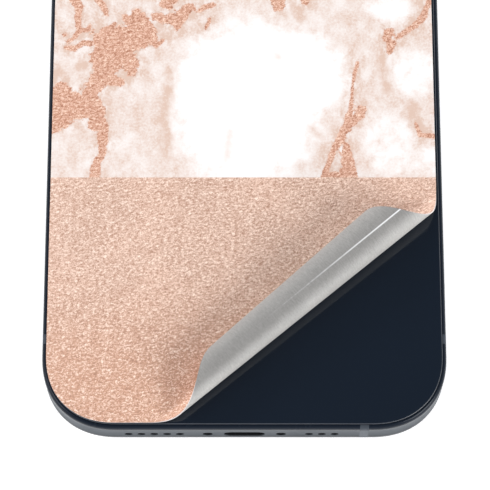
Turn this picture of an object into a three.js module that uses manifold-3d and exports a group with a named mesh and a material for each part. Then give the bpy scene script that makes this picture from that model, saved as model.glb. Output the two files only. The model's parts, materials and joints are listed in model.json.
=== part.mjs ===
// A flat-sided smartphone lying face down. The printed skin on its back has peeled at one corner
// and rolled up into a tapering tube. Millimetres: +Z points up from the display to the back,
// +Y towards the phone's top end and +X to the right as the back is seen. The display's outer
// face is at height 0 and the phone is centred on X and Y.
import * as THREE from "three";
import { mergeVertices } from "three/addons/utils/BufferGeometryUtils.js";
import Module from "manifold-3d";

const wasm = await Module();
wasm.setup();

// ---------------------------------------------------------------- driving dimensions
const WIDTH = 71.5;
const LENGTH = 146.7;
const BACK = 7.8; // height of the back glass's outer face
const CORNER_REACH = 13.5; // how much of each edge a corner takes up
const CORNER_EXPONENT = 2.25; // 2 is a circle, more is squarer
const CORNER_STEPS = 7;
const ROUND_STEPS = 3; // steps in each quarter of a small rounded end

// The metal band round the phone.
const WALL = 2.0;
const BAND_LOW = 0.45;
const BAND_HIGH = 7.45;
const BAND_EDGE = { rise: 0.9, inset: 0.6, steps: 2 };

// The two sheets of glass and the tape that holds each on its ledge.
const GLASS = 0.8;
const GLASS_INSET = 0.75;
const GLASS_EDGE = { rise: 0.2, inset: 0.2, steps: 1 };
const TAPE = 0.15;
const CLEARANCE = 0.05;
const FRONT_LEDGE = GLASS + TAPE;
const BACK_LEDGE = BACK - GLASS - TAPE;

// The web that stiffens the band and carries the inner parts on its upper face.
const WEB_LOW = 1.95;
const WEB_HIGH = 2.45;
const DECK = WEB_HIGH + 0.1; // the inner parts stand on thin glue
const ROOF = 6.2; // the tallest inner parts end here
const BOTTOM_NOTCH = { half: 6.5, innerEnd: -61 }; // room for the charging port
const TOP_NOTCH = { half: 14, innerEnd: 61, wall: 1 }; // room for the earpiece

// Heights of the openings in the end and in the sides.
const END_AXIS = 3.6;
const SIDE_AXIS = 3.9;

// The openings in the bottom end, by their places along X.
const PORT = { halfWidth: 3.55, halfHeight: 1.2, wall: 0.4, depth: 8.4 };
const HOLE_RADIUS = 0.675;
const HOLE_PITCH = 2.26;
const SPEAKER_HOLES = { first: -20.4, count: 5 };
const MIC_HOLES = { first: 11.4, count: 3 };
const END_SCREW = { x: 6.46, headRadius: 0.8, headLength: 0.7, shankRadius: 0.5, length: 4.4 };
const SCREW_CROSS = { arm: 0.5, half: 0.11, depth: 0.35 };

// Plastic inserts that split the band into aerials.
const INSERT_DEPTH = 1.3;
const END_INSERT = { place: 21.05, width: 1.6 };
const SIDE_INSERT = { place: 57.0, width: 1.76 };

// Keys stand out of the sides by the same amount on both, and travel a little less than that.
const KEY_PROUD = 0.35;
const KEY_HALF_HEIGHT = 1.35;
const KEY_CLEARANCE = 0.15;
const KEY_DEPTH = 2.2;
const STEM = { radius: 0.6, length: 0.8 };
const VOLUME_UP = { y: 33.5, half: 5.2 };
const VOLUME_DOWN = { y: 20.5, half: 5.2 };
const POWER = { y: 27.0, half: 8.5 };
const RINGER = { y: 44.5, half: 2.3, halfHeight: 0.95, slotHalfHeight: 1.55, drop: 0.45 };
const DOME = { radius: 1.3, height: 0.4, gap: 0.4 };
const BRACKET = { thickness: 0.4, low: 2.6, high: 5.2, tab: 1.5 };
const VOLUME_BRACKET = [13.2, 48]; // ends along Y
const POWER_BRACKET = [16, 38];

// The card tray in the right side.
const TRAY = { y: 4.0, half: 7.4, halfHeight: 1.1, faceDepth: 1.0, innerEnd: 15.5 };
const BLADE = { half: 6.3, low: 3.6, high: 4.2 };
const EJECT_HOLE = { radius: 0.4, inset: 1.8 };
const CARD = { x: 26.8, length: 12.3, width: 8.8 };
const READER = { half: 8.0, wall: 0.25, rail: 1.2, low: 3.25, high: 5.0, innerEnd: 13.9, mouth: 31.0 };

// The camera plate stands up through the back glass.
const PLATE = { x: -19.9, y: 54.7, halfX: 12.8, halfY: 15.5, reach: 8.0, low: 7.0, high: 8.8 };
const LENS = { x: -23.6, spacing: 14.8, hole: 4.6, ring: 6.4, ringHeight: 1.2, cover: 4.65 };
const BARREL = { radius: 3.6, low: 3.2, high: 8.4, dish: 0.9 };
const HOUSING = { half: 5.8, bore: 3.95, high: 6.4 };
const FLASH = { x: -12.8, rise: 5.0, radius: 2.1, low: 7.9 };
const REAR_MIC_RADIUS = 0.5;
const REAR_MIC_LOW = 8.2;

// Inner parts as [low, high] pairs along each axis.
const BATTERY = { x: [-31.0, 11.5], y: [-55.0, 38.0], z: [DECK, ROOF] };
const BOARD = { x: [13.5, 31.2], y: [-56.0, 60.0], armX: -6.0, armY: 41.0, z: [2.6, 3.25] };
const SHIELD_HIGH = 5.1;
const LOWER_SHIELD = { x: [15.0, 30.0], y: [-50.0, -8.0], z: [BOARD.z[1], SHIELD_HIGH] };
const UPPER_SHIELD = { x: [-4.0, 30.0], y: [43.0, 58.0], z: [BOARD.z[1], SHIELD_HIGH] };
const LOUDSPEAKER = { x: [-31.5, -8.5], y: [-70.7, -57.5], z: [DECK, ROOF] };
const HAPTIC = { x: [9.5, 29.5], y: [-68.9, -59.5], z: [DECK, 5.8], wall: 0.4, endGap: 1.6 };
const LEAF = { thickness: 0.25, bow: 0.7, width: 2, endGap: 0.3, lift: 0.5 };
const MICROPHONE = { x: [10.6, 16.8], y: [-70.8, -69.4], z: [2.7, 4.5] };
const EARPIECE = { x: [-13.0, 1.0], y: [62.5, 69.5], z: [2.1, 5.4] };
const EARPIECE_SLIT = { y: 71.4, halfLong: 6.0, halfHigh: 0.4 };
const EARPIECE_VENT = { x: [-10, -2], y: [64, 68], depth: 0.4 };
const SPEAKER_CONE = { x: [-28.5, -12], y: [-66, -60], depth: 0.6 };
const PORT_FLEX = { left: -5, right: 20, stem: 5, bend: -58.9, top: -56.4, thickness: 0.25 };
const FRONT_CAMERA = { x: [5.7, 11.7], y: [62.5, 68.5], z: [2.0, 5.0], lens: 1.9 };
const COIL = { y: -5.0, inner: 10.0, outer: 22.0, shield: 25.0, shieldLow: 6.3, low: 6.5, high: 6.84 };

// The skin: a printed film whose lower-right corner has come away along a straight peel line.
const SKIN = 0.2;
const SKIN_MARGIN = { left: 0.8, right: 1.2, end: 1.0 };
const PEEL_RIGHT_Y = -27.6; // where the peel line meets the skin's right edge
const PEEL_BOTTOM_X = -17.0; // where it meets the skin's bottom edge
const ROLL_RADIUS_RIGHT = 4.37;
const ROLL_RADIUS_BOTTOM = 2.75;
const ROLL_TURN = 4.4; // radians of the outermost wrap
const ROLL_STEPS = 18;
const SKIN_GAP = 0.3;

const halfWidth = WIDTH / 2;
const halfLength = LENGTH / 2;
const innerX = halfWidth - WALL;
const innerY = halfLength - WALL;

// ---------------------------------------------------------------- solids and meshes
const X_AXIS = new THREE.Vector3(1, 0, 0);
const Y_AXIS = new THREE.Vector3(0, 1, 0);
const Z_AXIS = new THREE.Vector3(0, 0, 1);
const TO_SIDE = new THREE.Matrix4().makeBasis(Y_AXIS, Z_AXIS, X_AXIS); // draws on YZ, runs along +X
const TO_END = new THREE.Matrix4().makeBasis(X_AXIS, Z_AXIS, Y_AXIS.clone().negate()); // runs along -Y

function material(color, roughness, metalness) {
  return new THREE.MeshStandardMaterial({ color, roughness, metalness });
}

function solidOf(geometry) {
  const bare = geometry.clone();
  bare.deleteAttribute("normal");
  bare.deleteAttribute("uv");
  const merged = mergeVertices(bare);
  return new wasm.Manifold(
    new wasm.Mesh({
      numProp: 3,
      vertProperties: merged.attributes.position.array,
      triVerts: new Uint32Array(merged.index.array),
    }),
  );
}

function geometryOf(solid) {
  const mesh = solid.getMesh();
  const geometry = new THREE.BufferGeometry();
  geometry.setAttribute("position", new THREE.BufferAttribute(mesh.vertProperties, mesh.numProp));
  geometry.setIndex(new THREE.BufferAttribute(mesh.triVerts, 1));
  geometry.computeVertexNormals();
  return geometry;
}

function cut(base, ...tools) {
  return geometryOf(tools.reduce((left, tool) => left.subtract(solidOf(tool)), solidOf(base)));
}

function join(base, ...others) {
  return geometryOf(others.reduce((left, other) => left.add(solidOf(other)), solidOf(base)));
}

function common(first, second) {
  return geometryOf(solidOf(first).intersect(solidOf(second)));
}

function add(group, name, geometry, look, x = 0, y = 0, z = 0) {
  const mesh = new THREE.Mesh(geometry, look);
  mesh.name = name;
  mesh.position.set(x, y, z);
  group.add(mesh);
  return mesh;
}

// A rounded rectangle about the origin: each corner is a superellipse that takes up reach of its edges.
function rounded(halfX, halfY, reach, exponent = 2, steps = ROUND_STEPS) {
  const points = [];
  for (let quadrant = 0; quadrant < 4; quadrant += 1) {
    const sideX = quadrant === 0 || quadrant === 3 ? 1 : -1;
    const sideY = quadrant < 2 ? 1 : -1;
    for (let step = 0; step <= steps; step += 1) {
      const turn = (quadrant + step / steps) * (Math.PI / 2);
      const alongX = Math.abs(Math.cos(turn)) ** (2 / exponent);
      const alongY = Math.abs(Math.sin(turn)) ** (2 / exponent);
      const x = sideX * (halfX - reach + reach * alongX);
      const y = sideY * (halfY - reach + reach * alongY);
      points.push(new THREE.Vector2(x, y));
    }
  }
  return new THREE.Shape(points);
}

// The phone's own outline, moved inwards.
function outline(inset) {
  const reach = CORNER_REACH - inset;
  return rounded(halfWidth - inset, halfLength - inset, reach, CORNER_EXPONENT, CORNER_STEPS);
}

function slab(shape, low, high, edge = { rise: 0, inset: 0, steps: 1 }) {
  const geometry = new THREE.ExtrudeGeometry(shape, {
    depth: high - low - 2 * edge.rise,
    bevelEnabled: edge.rise > 0,
    bevelThickness: edge.rise,
    bevelSize: edge.inset,
    bevelOffset: -edge.inset,
    bevelSegments: edge.steps,
  });
  return geometry.translate(0, 0, low + edge.rise);
}

function ring(outerInset, innerInset, low, high) {
  const shape = outline(outerInset);
  shape.holes.push(new THREE.Path(outline(innerInset).getPoints().reverse()));
  return slab(shape, low, high);
}

function block(x, y, z) {
  const geometry = new THREE.BoxGeometry(x[1] - x[0], y[1] - y[0], z[1] - z[0]);
  return geometry.translate((x[0] + x[1]) / 2, (y[0] + y[1]) / 2, (z[0] + z[1]) / 2);
}

function blockOf(part) {
  return block(part.x, part.y, part.z);
}

// A block trimmed to the rounded space inside the band.
function fitted(part, inset = 0.4) {
  return common(blockOf(part), slab(outline(WALL + inset), part.z[0] - 1, part.z[1] + 1));
}

function disc(radius, low, high, sides = 24) {
  const geometry = new THREE.CylinderGeometry(radius, radius, high - low, sides);
  return geometry.rotateX(Math.PI / 2).translate(0, 0, (low + high) / 2);
}

function sideSlab(shape, y, z, fromX, toX) {
  return slab(shape, 0, toX - fromX).applyMatrix4(TO_SIDE).translate(fromX, y, z);
}

function endSlab(shape, x, z, innerEndY, outerEndY) {
  return slab(shape, 0, innerEndY - outerEndY).applyMatrix4(TO_END).translate(x, innerEndY, z);
}

function capsule(halfLong, halfHigh) {
  return rounded(halfLong, halfHigh, halfHigh);
}

function circle(radius) {
  return rounded(radius, radius, radius);
}

function lathe(profile, sides = 32) {
  const points = profile.map(([radius, height]) => new THREE.Vector2(radius, height));
  return new THREE.LatheGeometry(points, sides).rotateX(Math.PI / 2);
}

// ---------------------------------------------------------------- looks
const STEEL = material(0x7c8288, 0.35, 0.9);
const DARK_GLASS = material(0x1c242e, 0.08, 0.1);
const BLACK_PLASTIC = material(0x16181b, 0.6, 0.0);
const INSERT_PLASTIC = material(0x9aa1a8, 0.5, 0.0);
const TAPE_BLACK = material(0x101113, 0.85, 0.0);
const SKIN_PRINT = material(0xe9cdbf, 0.45, 0.0);
const SKIN_BACK = material(0xc3c3c6, 0.4, 0.0);
const CELL_WRAP = material(0x1b1c1f, 0.5, 0.0);
const BOARD_GREEN = material(0x1d3a34, 0.5, 0.0);
const TIN = material(0xa9abad, 0.4, 0.8);
const COPPER = material(0xb4693b, 0.35, 0.9);
const FERRITE = material(0x2a2a2c, 0.7, 0.1);
const LENS_GLASS = material(0x0a0d12, 0.03, 0.0);
const FLASH_LENS = material(0xf2ead2, 0.3, 0.0);
const GOLD = material(0xc9a24a, 0.3, 1.0);
const MESH_BLACK = material(0x0d0e10, 0.7, 0.3);
const TUNGSTEN = material(0x5b5d61, 0.4, 0.9);
const FLEX = material(0x2b2118, 0.5, 0.0);
const CARD_WHITE = material(0xe6e6e6, 0.5, 0.0);

// ---------------------------------------------------------------- band, web and inserts
function insertSlots() {
  const tall = [BAND_LOW - 1, BAND_HIGH + 1];
  const slots = [];
  const endReach = [halfLength - INSERT_DEPTH, halfLength + 1];
  const sideReach = [halfWidth - INSERT_DEPTH, halfWidth + 1];
  for (const side of [-1, 1]) {
    const across = side * -END_INSERT.place;
    slots.push({
      name: side < 0 ? "antenna_insert_bottom" : "antenna_insert_top",
      x: [across - END_INSERT.width / 2, across + END_INSERT.width / 2],
      y: side < 0 ? [-endReach[1], -endReach[0]] : endReach,
      z: tall,
    });
    for (const end of [-1, 1]) {
      const along = end * SIDE_INSERT.place;
      slots.push({
        name: `antenna_insert_${side < 0 ? "left" : "right"}_${end < 0 ? "lower" : "upper"}`,
        x: side < 0 ? [-sideReach[1], -sideReach[0]] : sideReach,
        y: [along - SIDE_INSERT.width / 2, along + SIDE_INSERT.width / 2],
        z: tall,
      });
    }
  }
  return slots;
}

function bandBlank() {
  const pocket = GLASS_INSET - CLEARANCE;
  return cut(
    slab(outline(0), BAND_LOW, BAND_HIGH, BAND_EDGE),
    slab(outline(WALL), BAND_LOW - 1, BAND_HIGH + 1),
    slab(outline(pocket), BAND_LOW - 1, FRONT_LEDGE),
    slab(outline(pocket), BACK_LEDGE, BAND_HIGH + 1),
  );
}

function web() {
  const overlap = 0.2; // the web is one piece with the band
  const through = [WEB_LOW - 1, WEB_HIGH + 1];
  return cut(
    slab(outline(WALL - overlap), WEB_LOW, WEB_HIGH),
    block([-BOTTOM_NOTCH.half, BOTTOM_NOTCH.half], [-halfLength, BOTTOM_NOTCH.innerEnd], through),
    block([-TOP_NOTCH.half, TOP_NOTCH.half], [TOP_NOTCH.innerEnd, innerY - TOP_NOTCH.wall], through),
  );
}

function endOpenings() {
  const throughWall = [-innerY + 1, -halfLength - 1];
  const openings = [endSlab(capsule(PORT.halfWidth, PORT.halfHeight), 0, END_AXIS, ...throughWall)];
  for (const row of [SPEAKER_HOLES, MIC_HOLES]) {
    for (let index = 0; index < row.count; index += 1) {
      const x = row.first + index * HOLE_PITCH;
      openings.push(endSlab(circle(HOLE_RADIUS), x, END_AXIS, ...throughWall));
    }
  }
  for (const side of [-1, 1]) {
    const x = side * END_SCREW.x;
    const headSeat = -halfLength + END_SCREW.headLength + 0.1;
    const headHole = circle(END_SCREW.headRadius + CLEARANCE);
    const shankHole = circle(END_SCREW.shankRadius + CLEARANCE);
    openings.push(endSlab(headHole, x, END_AXIS, headSeat, -halfLength - 1));
    openings.push(endSlab(shankHole, x, END_AXIS, ...throughWall));
  }
  return openings;
}

function keyOpening(key, side, halfHeight = KEY_HALF_HEIGHT, reach = halfHeight) {
  const shape = rounded(key.half + KEY_CLEARANCE, halfHeight + KEY_CLEARANCE, reach + KEY_CLEARANCE);
  const from = side > 0 ? innerX - 1 : -halfWidth - 1;
  return sideSlab(shape, key.y, SIDE_AXIS, from, from + WALL + 2);
}

function buildBand(group) {
  const slots = insertSlots();
  const blank = bandBlank();
  const openings = [
    ...endOpenings(),
    keyOpening(VOLUME_UP, 1),
    keyOpening(VOLUME_DOWN, 1),
    keyOpening(RINGER, 1, RINGER.slotHalfHeight, RINGER.halfHeight / 2),
    keyOpening(POWER, -1),
    keyOpening(TRAY, 1, TRAY.halfHeight),
  ];
  add(group, "frame", cut(join(blank, web()), ...slots.map(blockOf), ...openings), STEEL);
  for (const slot of slots) {
    const gap = 0.03;
    const room = {
      x: [slot.x[0] + gap, slot.x[1] - gap],
      y: [slot.y[0] + gap, slot.y[1] - gap],
      z: slot.z,
    };
    add(group, slot.name, common(blank, blockOf(room)), INSERT_PLASTIC);
  }
}

function buildEndScrews(group) {
  const { arm, half, depth } = SCREW_CROSS;
  for (const side of [-1, 1]) {
    const head = endSlab(circle(END_SCREW.headRadius), 0, 0, 0, -END_SCREW.headLength);
    const shank = endSlab(circle(END_SCREW.shankRadius), 0, 0, END_SCREW.length - END_SCREW.headLength, 0);
    const crossY = [-END_SCREW.headLength - 1, -END_SCREW.headLength + depth];
    const screw = cut(
      join(head, shank),
      block([-arm, arm], crossY, [-half, half]),
      block([-half, half], crossY, [-arm, arm]),
    );
    const y = -halfLength + END_SCREW.headLength + CLEARANCE;
    add(group, side < 0 ? "end_screw_left" : "end_screw_right", screw, TIN, side * END_SCREW.x, y, END_AXIS);
  }
}

// ---------------------------------------------------------------- display side
function buildDisplay(group) {
  const slit = EARPIECE_SLIT;
  const lensX = (FRONT_CAMERA.x[0] + FRONT_CAMERA.x[1]) / 2;
  const lensY = (FRONT_CAMERA.y[0] + FRONT_CAMERA.y[1]) / 2;
  const slitCut = slab(capsule(slit.halfLong, slit.halfHigh), -1, GLASS + 1).translate(0, slit.y, 0);
  add(group, "cover_glass", cut(slab(outline(GLASS_INSET), 0, GLASS, GLASS_EDGE), slitCut), DARK_GLASS);
  add(group, "cover_glass_tape", ring(GLASS_INSET + 0.1, WALL - CLEARANCE, GLASS, FRONT_LEDGE), TAPE_BLACK);
  const punchHole = disc(FRONT_CAMERA.lens + 0.4, 0, WEB_LOW).translate(lensX, lensY, 0);
  const panelTop = WEB_LOW - 0.2;
  add(group, "display_panel", cut(slab(outline(WALL + 0.6), GLASS, panelTop), punchHole), BLACK_PLASTIC);
  const meshShape = capsule(slit.halfLong - CLEARANCE, slit.halfHigh - CLEARANCE);
  add(group, "earpiece_mesh", slab(meshShape, 0.15, 0.6), MESH_BLACK, 0, slit.y, 0);
  const nose = disc(FRONT_CAMERA.lens, 0.95, FRONT_CAMERA.z[0] + 0.1).translate(lensX, lensY, 0);
  add(group, "front_camera", join(blockOf(FRONT_CAMERA), nose), BLACK_PLASTIC);
  const ventHeights = [EARPIECE.z[1] - EARPIECE_VENT.depth, EARPIECE.z[1] + 1];
  const vent = block(EARPIECE_VENT.x, EARPIECE_VENT.y, ventHeights);
  add(group, "earpiece_speaker", cut(blockOf(EARPIECE), vent), BLACK_PLASTIC);
}

// ---------------------------------------------------------------- back side
function plateOutline(grow) {
  return rounded(PLATE.halfX + grow, PLATE.halfY + grow, PLATE.reach + grow, CORNER_EXPONENT, 5);
}

function plateOpening(grow) {
  return slab(plateOutline(grow), BACK_LEDGE - 1, BACK + 1).translate(PLATE.x, PLATE.y, 0);
}

function buildBack(group) {
  const glass = slab(outline(GLASS_INSET), BACK - GLASS, BACK, GLASS_EDGE);
  add(group, "back_glass", cut(glass, plateOpening(0.1)), DARK_GLASS);
  const tapeHigh = BACK - GLASS;
  add(group, "back_glass_tape", ring(GLASS_INSET + 0.1, WALL - CLEARANCE, BACK_LEDGE, tapeHigh), TAPE_BLACK);
  add(group, "coil_shield", disc(COIL.shield, COIL.shieldLow, COIL.low, 32), FERRITE, 0, COIL.y, 0);
  const coil = lathe([
    [COIL.inner, COIL.low],
    [COIL.outer, COIL.low],
    [COIL.outer, COIL.high],
    [COIL.inner, COIL.high],
    [COIL.inner, COIL.low],
  ]);
  add(group, "charging_coil", coil, COPPER, 0, COIL.y, 0);
}

// ---------------------------------------------------------------- the skin and its rolled corner
const skinHalfX = (WIDTH - SKIN_MARGIN.left - SKIN_MARGIN.right) / 2;
const skinHalfY = halfLength - SKIN_MARGIN.end;
const skinX = (SKIN_MARGIN.left - SKIN_MARGIN.right) / 2;
const peelRight = new THREE.Vector3(skinX + skinHalfX, PEEL_RIGHT_Y, BACK);
const peelBottom = new THREE.Vector3(PEEL_BOTTOM_X, -skinHalfY, BACK);
const peelLength = peelRight.distanceTo(peelBottom);
const peelDown = peelBottom.clone().sub(peelRight).normalize(); // along the line, to its bottom end
const peelOut = new THREE.Vector3().crossVectors(Z_AXIS, peelDown); // across it, to the peeled corner
const TO_ROLL = new THREE.Matrix4().makeBasis(peelOut, Z_AXIS, peelDown).setPosition(peelRight);

function skinOutline() {
  const reach = CORNER_REACH - SKIN_MARGIN.end;
  return rounded(skinHalfX, skinHalfY, reach, CORNER_EXPONENT, CORNER_STEPS);
}

function rollShape() {
  const radius = ROLL_RADIUS_RIGHT;
  const start = SKIN_GAP / radius;
  const points = [];
  const arcs = [
    [radius, start, ROLL_TURN],
    [radius - SKIN, ROLL_TURN, start],
  ];
  for (const [distance, from, to] of arcs) {
    for (let step = 0; step <= ROLL_STEPS; step += 1) {
      const turn = from + ((to - from) * step) / ROLL_STEPS;
      points.push(new THREE.Vector2(distance * Math.sin(turn), radius - distance * Math.cos(turn)));
    }
  }
  return new THREE.Shape(points);
}

// The roll narrows along the peel line, and the film's straight edges wind round it as helices.
function windRoll(geometry) {
  const place = geometry.attributes.position;
  const edgeRight = peelDown.y / peelOut.y; // the right edge's run along the line, per run across it
  const edgeBottom = -peelDown.x / peelOut.x;
  const narrow = ROLL_RADIUS_BOTTOM / ROLL_RADIUS_RIGHT;
  for (let index = 0; index < place.count; index += 1) {
    const x = place.getX(index);
    const y = place.getY(index);
    const turn = (Math.atan2(x, ROLL_RADIUS_RIGHT - y) + 2 * Math.PI) % (2 * Math.PI);
    const share = place.getZ(index) / peelLength;
    const wound = turn * (share > 0.5 ? ROLL_RADIUS_BOTTOM : ROLL_RADIUS_RIGHT);
    const along = share > 0.5 ? peelLength - wound * edgeBottom : wound * edgeRight;
    const size = 1 + (narrow - 1) * (along / peelLength);
    place.setXYZ(index, x * size, y * size, along);
  }
  return geometry;
}

function buildSkin(group) {
  const film = slab(skinOutline(), BACK, BACK + SKIN).translate(skinX, 0, 0);
  const beyond = new THREE.BoxGeometry(WIDTH, 2, 2 * LENGTH).translate(WIDTH / 2 - CLEARANCE, 0, 0);
  const peeled = beyond.applyMatrix4(TO_ROLL);
  add(group, "skin_flat", cut(film, plateOpening(0.6), peeled), SKIN_PRINT);
  const roll = slab(rollShape(), 0, peelLength);
  add(group, "skin_curl", windRoll(roll).applyMatrix4(TO_ROLL), SKIN_BACK);
}

// ---------------------------------------------------------------- cameras
function buildCameras(group) {
  const flashSpots = [
    [FLASH.x - PLATE.x, FLASH.rise, FLASH.radius + 0.1],
    [FLASH.x - PLATE.x, -FLASH.rise, REAR_MIC_RADIUS + 0.1],
  ];
  const lensSpots = [-1, 1].map((end) => [LENS.x - PLATE.x, (end * LENS.spacing) / 2, LENS.hole]);
  const holes = [...flashSpots, ...lensSpots].map(([x, y, radius]) =>
    disc(radius, PLATE.low - 1, PLATE.high + 1).translate(x, y, 0),
  );
  const plate = slab(plateOutline(0), PLATE.low, PLATE.high);
  add(group, "camera_plate", cut(plate, ...holes), DARK_GLASS, PLATE.x, PLATE.y, 0);
  const flashY = PLATE.y + FLASH.rise;
  const micY = PLATE.y - FLASH.rise;
  const mic = disc(REAR_MIC_RADIUS, REAR_MIC_LOW, PLATE.high - 0.2, 12);
  add(group, "flash_window", disc(FLASH.radius, FLASH.low, PLATE.high), FLASH_LENS, FLASH.x, flashY, 0);
  add(group, "rear_mic_mesh", mic, MESH_BLACK, FLASH.x, micY, 0);
  for (const [name, end] of [["lower", -1], ["upper", 1]]) {
    const y = PLATE.y + (end * LENS.spacing) / 2;
    const ringTop = PLATE.high + LENS.ringHeight;
    const rim = 0.3;
    const ringProfile = [
      [LENS.cover + CLEARANCE, PLATE.high],
      [LENS.ring, PLATE.high],
      [LENS.ring, ringTop - rim],
      [LENS.ring - rim, ringTop],
      [LENS.cover + CLEARANCE, ringTop],
      [LENS.cover + CLEARANCE, PLATE.high],
    ];
    add(group, `lens_ring_${name}`, lathe(ringProfile), STEEL, LENS.x, y, 0);
    const cover = disc(LENS.cover, ringTop - 0.7, ringTop - 0.2, 32);
    add(group, `lens_cover_${name}`, cover, LENS_GLASS, LENS.x, y, 0);
    const barrelProfile = [
      [0, BARREL.low],
      [BARREL.radius, BARREL.low],
      [BARREL.radius, BARREL.high],
      [BARREL.radius - 0.6, BARREL.high],
      [BARREL.radius / 2, BARREL.high - BARREL.dish],
      [0, BARREL.high - BARREL.dish],
    ];
    add(group, `lens_barrel_${name}`, lathe(barrelProfile, 24), BLACK_PLASTIC, LENS.x, y, 0);
    const square = rounded(HOUSING.half, HOUSING.half, 0.8);
    const bore = disc(HOUSING.bore, BARREL.low - 0.3, HOUSING.high + 1);
    add(group, `camera_housing_${name}`, cut(slab(square, DECK, HOUSING.high), bore), TIN, LENS.x, y, 0);
  }
}

// ---------------------------------------------------------------- battery and boards
function buildBoards(group) {
  const halfX = (BATTERY.x[1] - BATTERY.x[0]) / 2;
  const halfY = (BATTERY.y[1] - BATTERY.y[0]) / 2;
  const cellX = BATTERY.x[0] + halfX;
  const cellY = BATTERY.y[0] + halfY;
  const cell = slab(rounded(halfX, halfY, 2), BATTERY.z[0], BATTERY.z[1]);
  add(group, "battery", cell, CELL_WRAP, cellX, cellY, 0);
  const tapeShape = new THREE.Shape();
  const tabHalf = 5;
  const tapeHalfX = halfX - 4;
  const tapeHalfY = halfY - 3;
  tapeShape.moveTo(-tapeHalfX, -tapeHalfY);
  tapeShape.lineTo(-tabHalf, -tapeHalfY);
  tapeShape.lineTo(-tabHalf, -halfY - 1.2);
  tapeShape.lineTo(tabHalf, -halfY - 1.2);
  tapeShape.lineTo(tabHalf, -tapeHalfY);
  tapeShape.lineTo(tapeHalfX, -tapeHalfY);
  tapeShape.lineTo(tapeHalfX, tapeHalfY);
  tapeShape.lineTo(-tapeHalfX, tapeHalfY);
  add(group, "battery_pull_tape", slab(tapeShape, WEB_HIGH, DECK), TAPE_BLACK, cellX, cellY, 0);

  const board = new THREE.Shape();
  board.moveTo(BOARD.x[0], BOARD.y[0]);
  board.lineTo(BOARD.x[1], BOARD.y[0]);
  board.lineTo(BOARD.x[1], BOARD.y[1]);
  board.lineTo(BOARD.armX, BOARD.y[1]);
  board.lineTo(BOARD.armX, BOARD.armY);
  board.lineTo(BOARD.x[0], BOARD.armY);
  const room = slab(outline(WALL + 0.4), BOARD.z[0] - 1, BOARD.z[1] + 1);
  add(group, "logic_board", common(slab(board, BOARD.z[0], BOARD.z[1]), room), BOARD_GREEN);
  add(group, "board_shield_lower", blockOf(LOWER_SHIELD), TIN);
  add(group, "board_shield_upper", fitted(UPPER_SHIELD), TIN);
}

// ---------------------------------------------------------------- bottom end
function buildPort(group) {
  const inner = capsule(PORT.halfWidth, PORT.halfHeight);
  const outer = capsule(PORT.halfWidth + PORT.wall, PORT.halfHeight + PORT.wall);
  const mouth = -innerY + CLEARANCE;
  const backEnd = mouth + PORT.depth;
  const shell = cut(
    endSlab(outer, 0, END_AXIS, backEnd, mouth),
    endSlab(inner, 0, END_AXIS, backEnd - PORT.wall, mouth - 1),
  );
  add(group, "port_shell", shell, TIN);
  const low = END_AXIS - PORT.halfHeight + CLEARANCE;
  const fingers = { count: 8, pitch: 0.62, width: 0.3 };
  const rootY = backEnd - PORT.wall - CLEARANCE;
  const span = ((fingers.count - 1) * fingers.pitch) / 2;
  const combs = [block([-span - 0.2, span + 0.2], [rootY - 1, rootY], [low, low + 0.3])];
  for (let index = 0; index < fingers.count; index += 1) {
    const x = -span + index * fingers.pitch;
    const fingerX = [x - fingers.width / 2, x + fingers.width / 2];
    combs.push(block(fingerX, [mouth + 1, rootY - 0.5], [low, low + 0.3]));
  }
  add(group, "port_contacts", join(...combs), GOLD);
  const flex = new THREE.Shape();
  flex.moveTo(PORT_FLEX.left, backEnd + 0.1);
  flex.lineTo(PORT_FLEX.stem, backEnd + 0.1);
  flex.lineTo(PORT_FLEX.stem, PORT_FLEX.bend);
  flex.lineTo(PORT_FLEX.right, PORT_FLEX.bend);
  flex.lineTo(PORT_FLEX.right, PORT_FLEX.top);
  flex.lineTo(PORT_FLEX.left, PORT_FLEX.top);
  add(group, "port_flex", slab(flex, DECK, DECK + PORT_FLEX.thickness), FLEX);
}

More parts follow.
